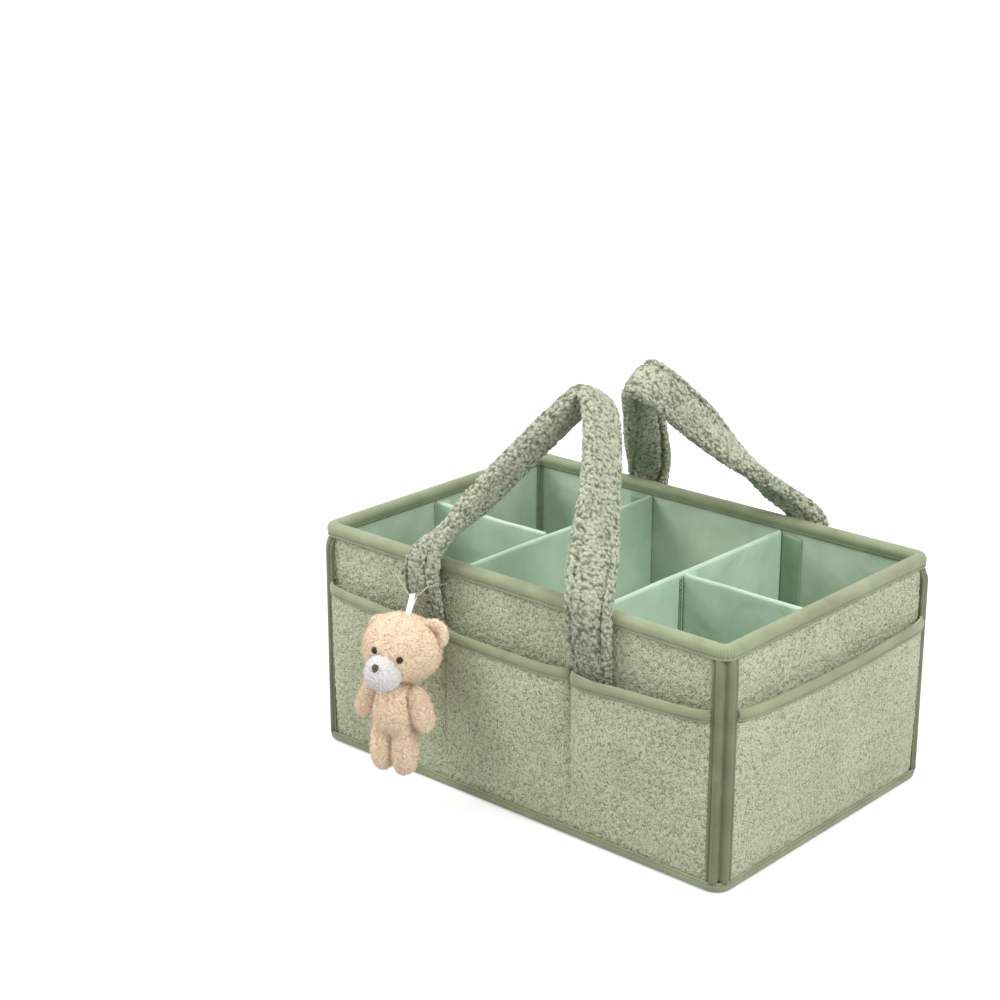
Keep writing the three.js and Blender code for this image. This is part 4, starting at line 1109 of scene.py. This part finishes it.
def tipped(points, angle):
    """Places turned about the front-to-back line, the right side downwards."""
    x, y, z = points.T
    cosine, sine = math.cos(angle), math.sin(angle)
    return np.stack((x * cosine + z * sine, y, z * cosine - x * sine), axis=1)


def hung(points):
    """Places on the bear, carried to where it hangs: turned a little to the right and tipped."""
    x, y, z = points.T
    cosine, sine = math.cos(bear_turn), math.sin(bear_turn)
    return tipped(np.stack((x * cosine - y * sine, x * sine + y * cosine, z), axis=1), bear_hang) + bear_at


def ball(name, at, half, swell=0.0, side=1, turn=0.0, dish=0.0, square=0.0, rounds=(64, 40)):
    """A sewn bag: a ball squared off and shaped to its half sizes, fuller below, dished in front, tilted."""
    bpy.ops.mesh.primitive_uv_sphere_add(segments=rounds[0], ring_count=rounds[1], radius=1)
    piece = bpy.context.object
    piece.name = piece.data.name = name
    shape = points_of(piece)
    shape = np.sign(shape) * np.abs(shape) ** (1 - square)
    shape[:, :2] *= (1 - swell * shape[:, 2])[:, None]
    hollow = np.exp(-3.0 * (shape[:, 0] ** 2 + shape[:, 2] ** 2))
    shape[:, 1] += dish * np.maximum(0, -shape[:, 1]) ** 2 * hollow
    shape = tipped(shape * half, -side * math.radians(turn))
    set_points(piece, shape + np.array(at) * (side, 1, 1))
    bpy.ops.object.shade_smooth()
    return piece


def hang_up(piece, material, slot, *nodes):
    """Carries a finished piece to its place on the bear, and gives it its finish and body."""
    set_points(piece, hung(points_of(piece)))
    dress(piece, material, "bear", slot)
    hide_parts(*nodes)


def stuff(pieces, material, slot, nodes, tilt=0.0, soften=6, fibres=9000, length=0.0026):
    """Joins bags into one sewn piece with soft seams, and raises its short pile and fibres."""
    body = pieces[0]
    if len(pieces) > 1:
        select(*pieces)
        bpy.ops.object.join()
    apply_modifier(body, "REMESH", mode="VOXEL", voxel_size=plush_voxel, use_smooth_shade=True)
    apply_modifier(body, "SMOOTH", factor=0.5, iterations=soften)
    apply_modifier(body, "SUBSURF", levels=1, render_levels=1)
    set_points(body, tipped(points_of(body), tilt))
    raise_pile(body, plush_pitch, -plush_pile, plush_pile, 71 + len(body.name))
    fuzz(body, fibres, length, 91 + len(body.name), plush_fibre, rear_bare)
    hang_up(body, material, slot, *nodes)


head = ball("bear_head_plush", head_at, head_half, 0.06, square=0.06)
stuff([head], plush, "plush", ["bear_head"], fibres=12000)
torso = ball("bear_torso_plush", torso_at, torso_half, 0.16, square=0.08)
legs = [ball(f"bear_{side}_leg", leg_at, leg_half, 0.06, sign, square=0.25) for side, sign in sides]
torso_nodes = ["bear_body", "bear_left_leg", "bear_right_leg"]
stuff([torso, *legs], plush, "plush", torso_nodes, soften=8, fibres=11000)
muzzle = ball("bear_muzzle_felt", muzzle_at, muzzle_half, 0.06, square=0.06)
stuff([muzzle], felt, "felt", ["bear_muzzle"], tilt=face_tilt, fibres=3000, length=0.0011)
for side, sign in sides:
    arm = ball(f"bear_{side}_arm_plush", arm_at, arm_half, 0.1, sign, 20, square=0.2)
    stuff([arm], plush, "plush", [f"bear_{side}_arm"], fibres=3000)
    ear = ball(f"bear_{side}_ear_plush", ear_at[side], ear_half, 0.0, sign, 40, 1.1)
    stuff([ear], plush, "plush", [f"bear_{side}_ear"], fibres=2000, length=0.0019)

eye_glass, glass, eye_place = new_finish("eye_bead")
swirl = noise(eye_glass, eye_place, 260, 2)
set_inputs(eye_glass, glass, {
    "Base Color": colours_of(eye_glass, swirl, (0, (0.006, 0.005, 0.004)), (1, (0.022, 0.015, 0.011))),
    "Roughness": 0.08, "Specular IOR Level": 0.3,
})
nose_thread = woven("nose_thread", (0.055, 0.026, 0.016), (0.13, 0.065, 0.040), 0.0005, 0.5, 0.05, 0.2)
features = [
    (ball(f"bear_{side}_eye_bead", eye_at, np.full(3, eye_radius), side=sign, rounds=(32, 20)), side + "_eye")
    for side, sign in sides
]
features.append((ball("bear_nose_embroidery", nose_at, nose_half, -0.5, rounds=(40, 24)), "nose"))
for feature, node in features:
    set_points(feature, tipped(points_of(feature), face_tilt))
    material, slot = (nose_thread, "nose_thread") if node == "nose" else (eye_glass, "eye_bead")
    hang_up(feature, material, slot, "bear_" + node)
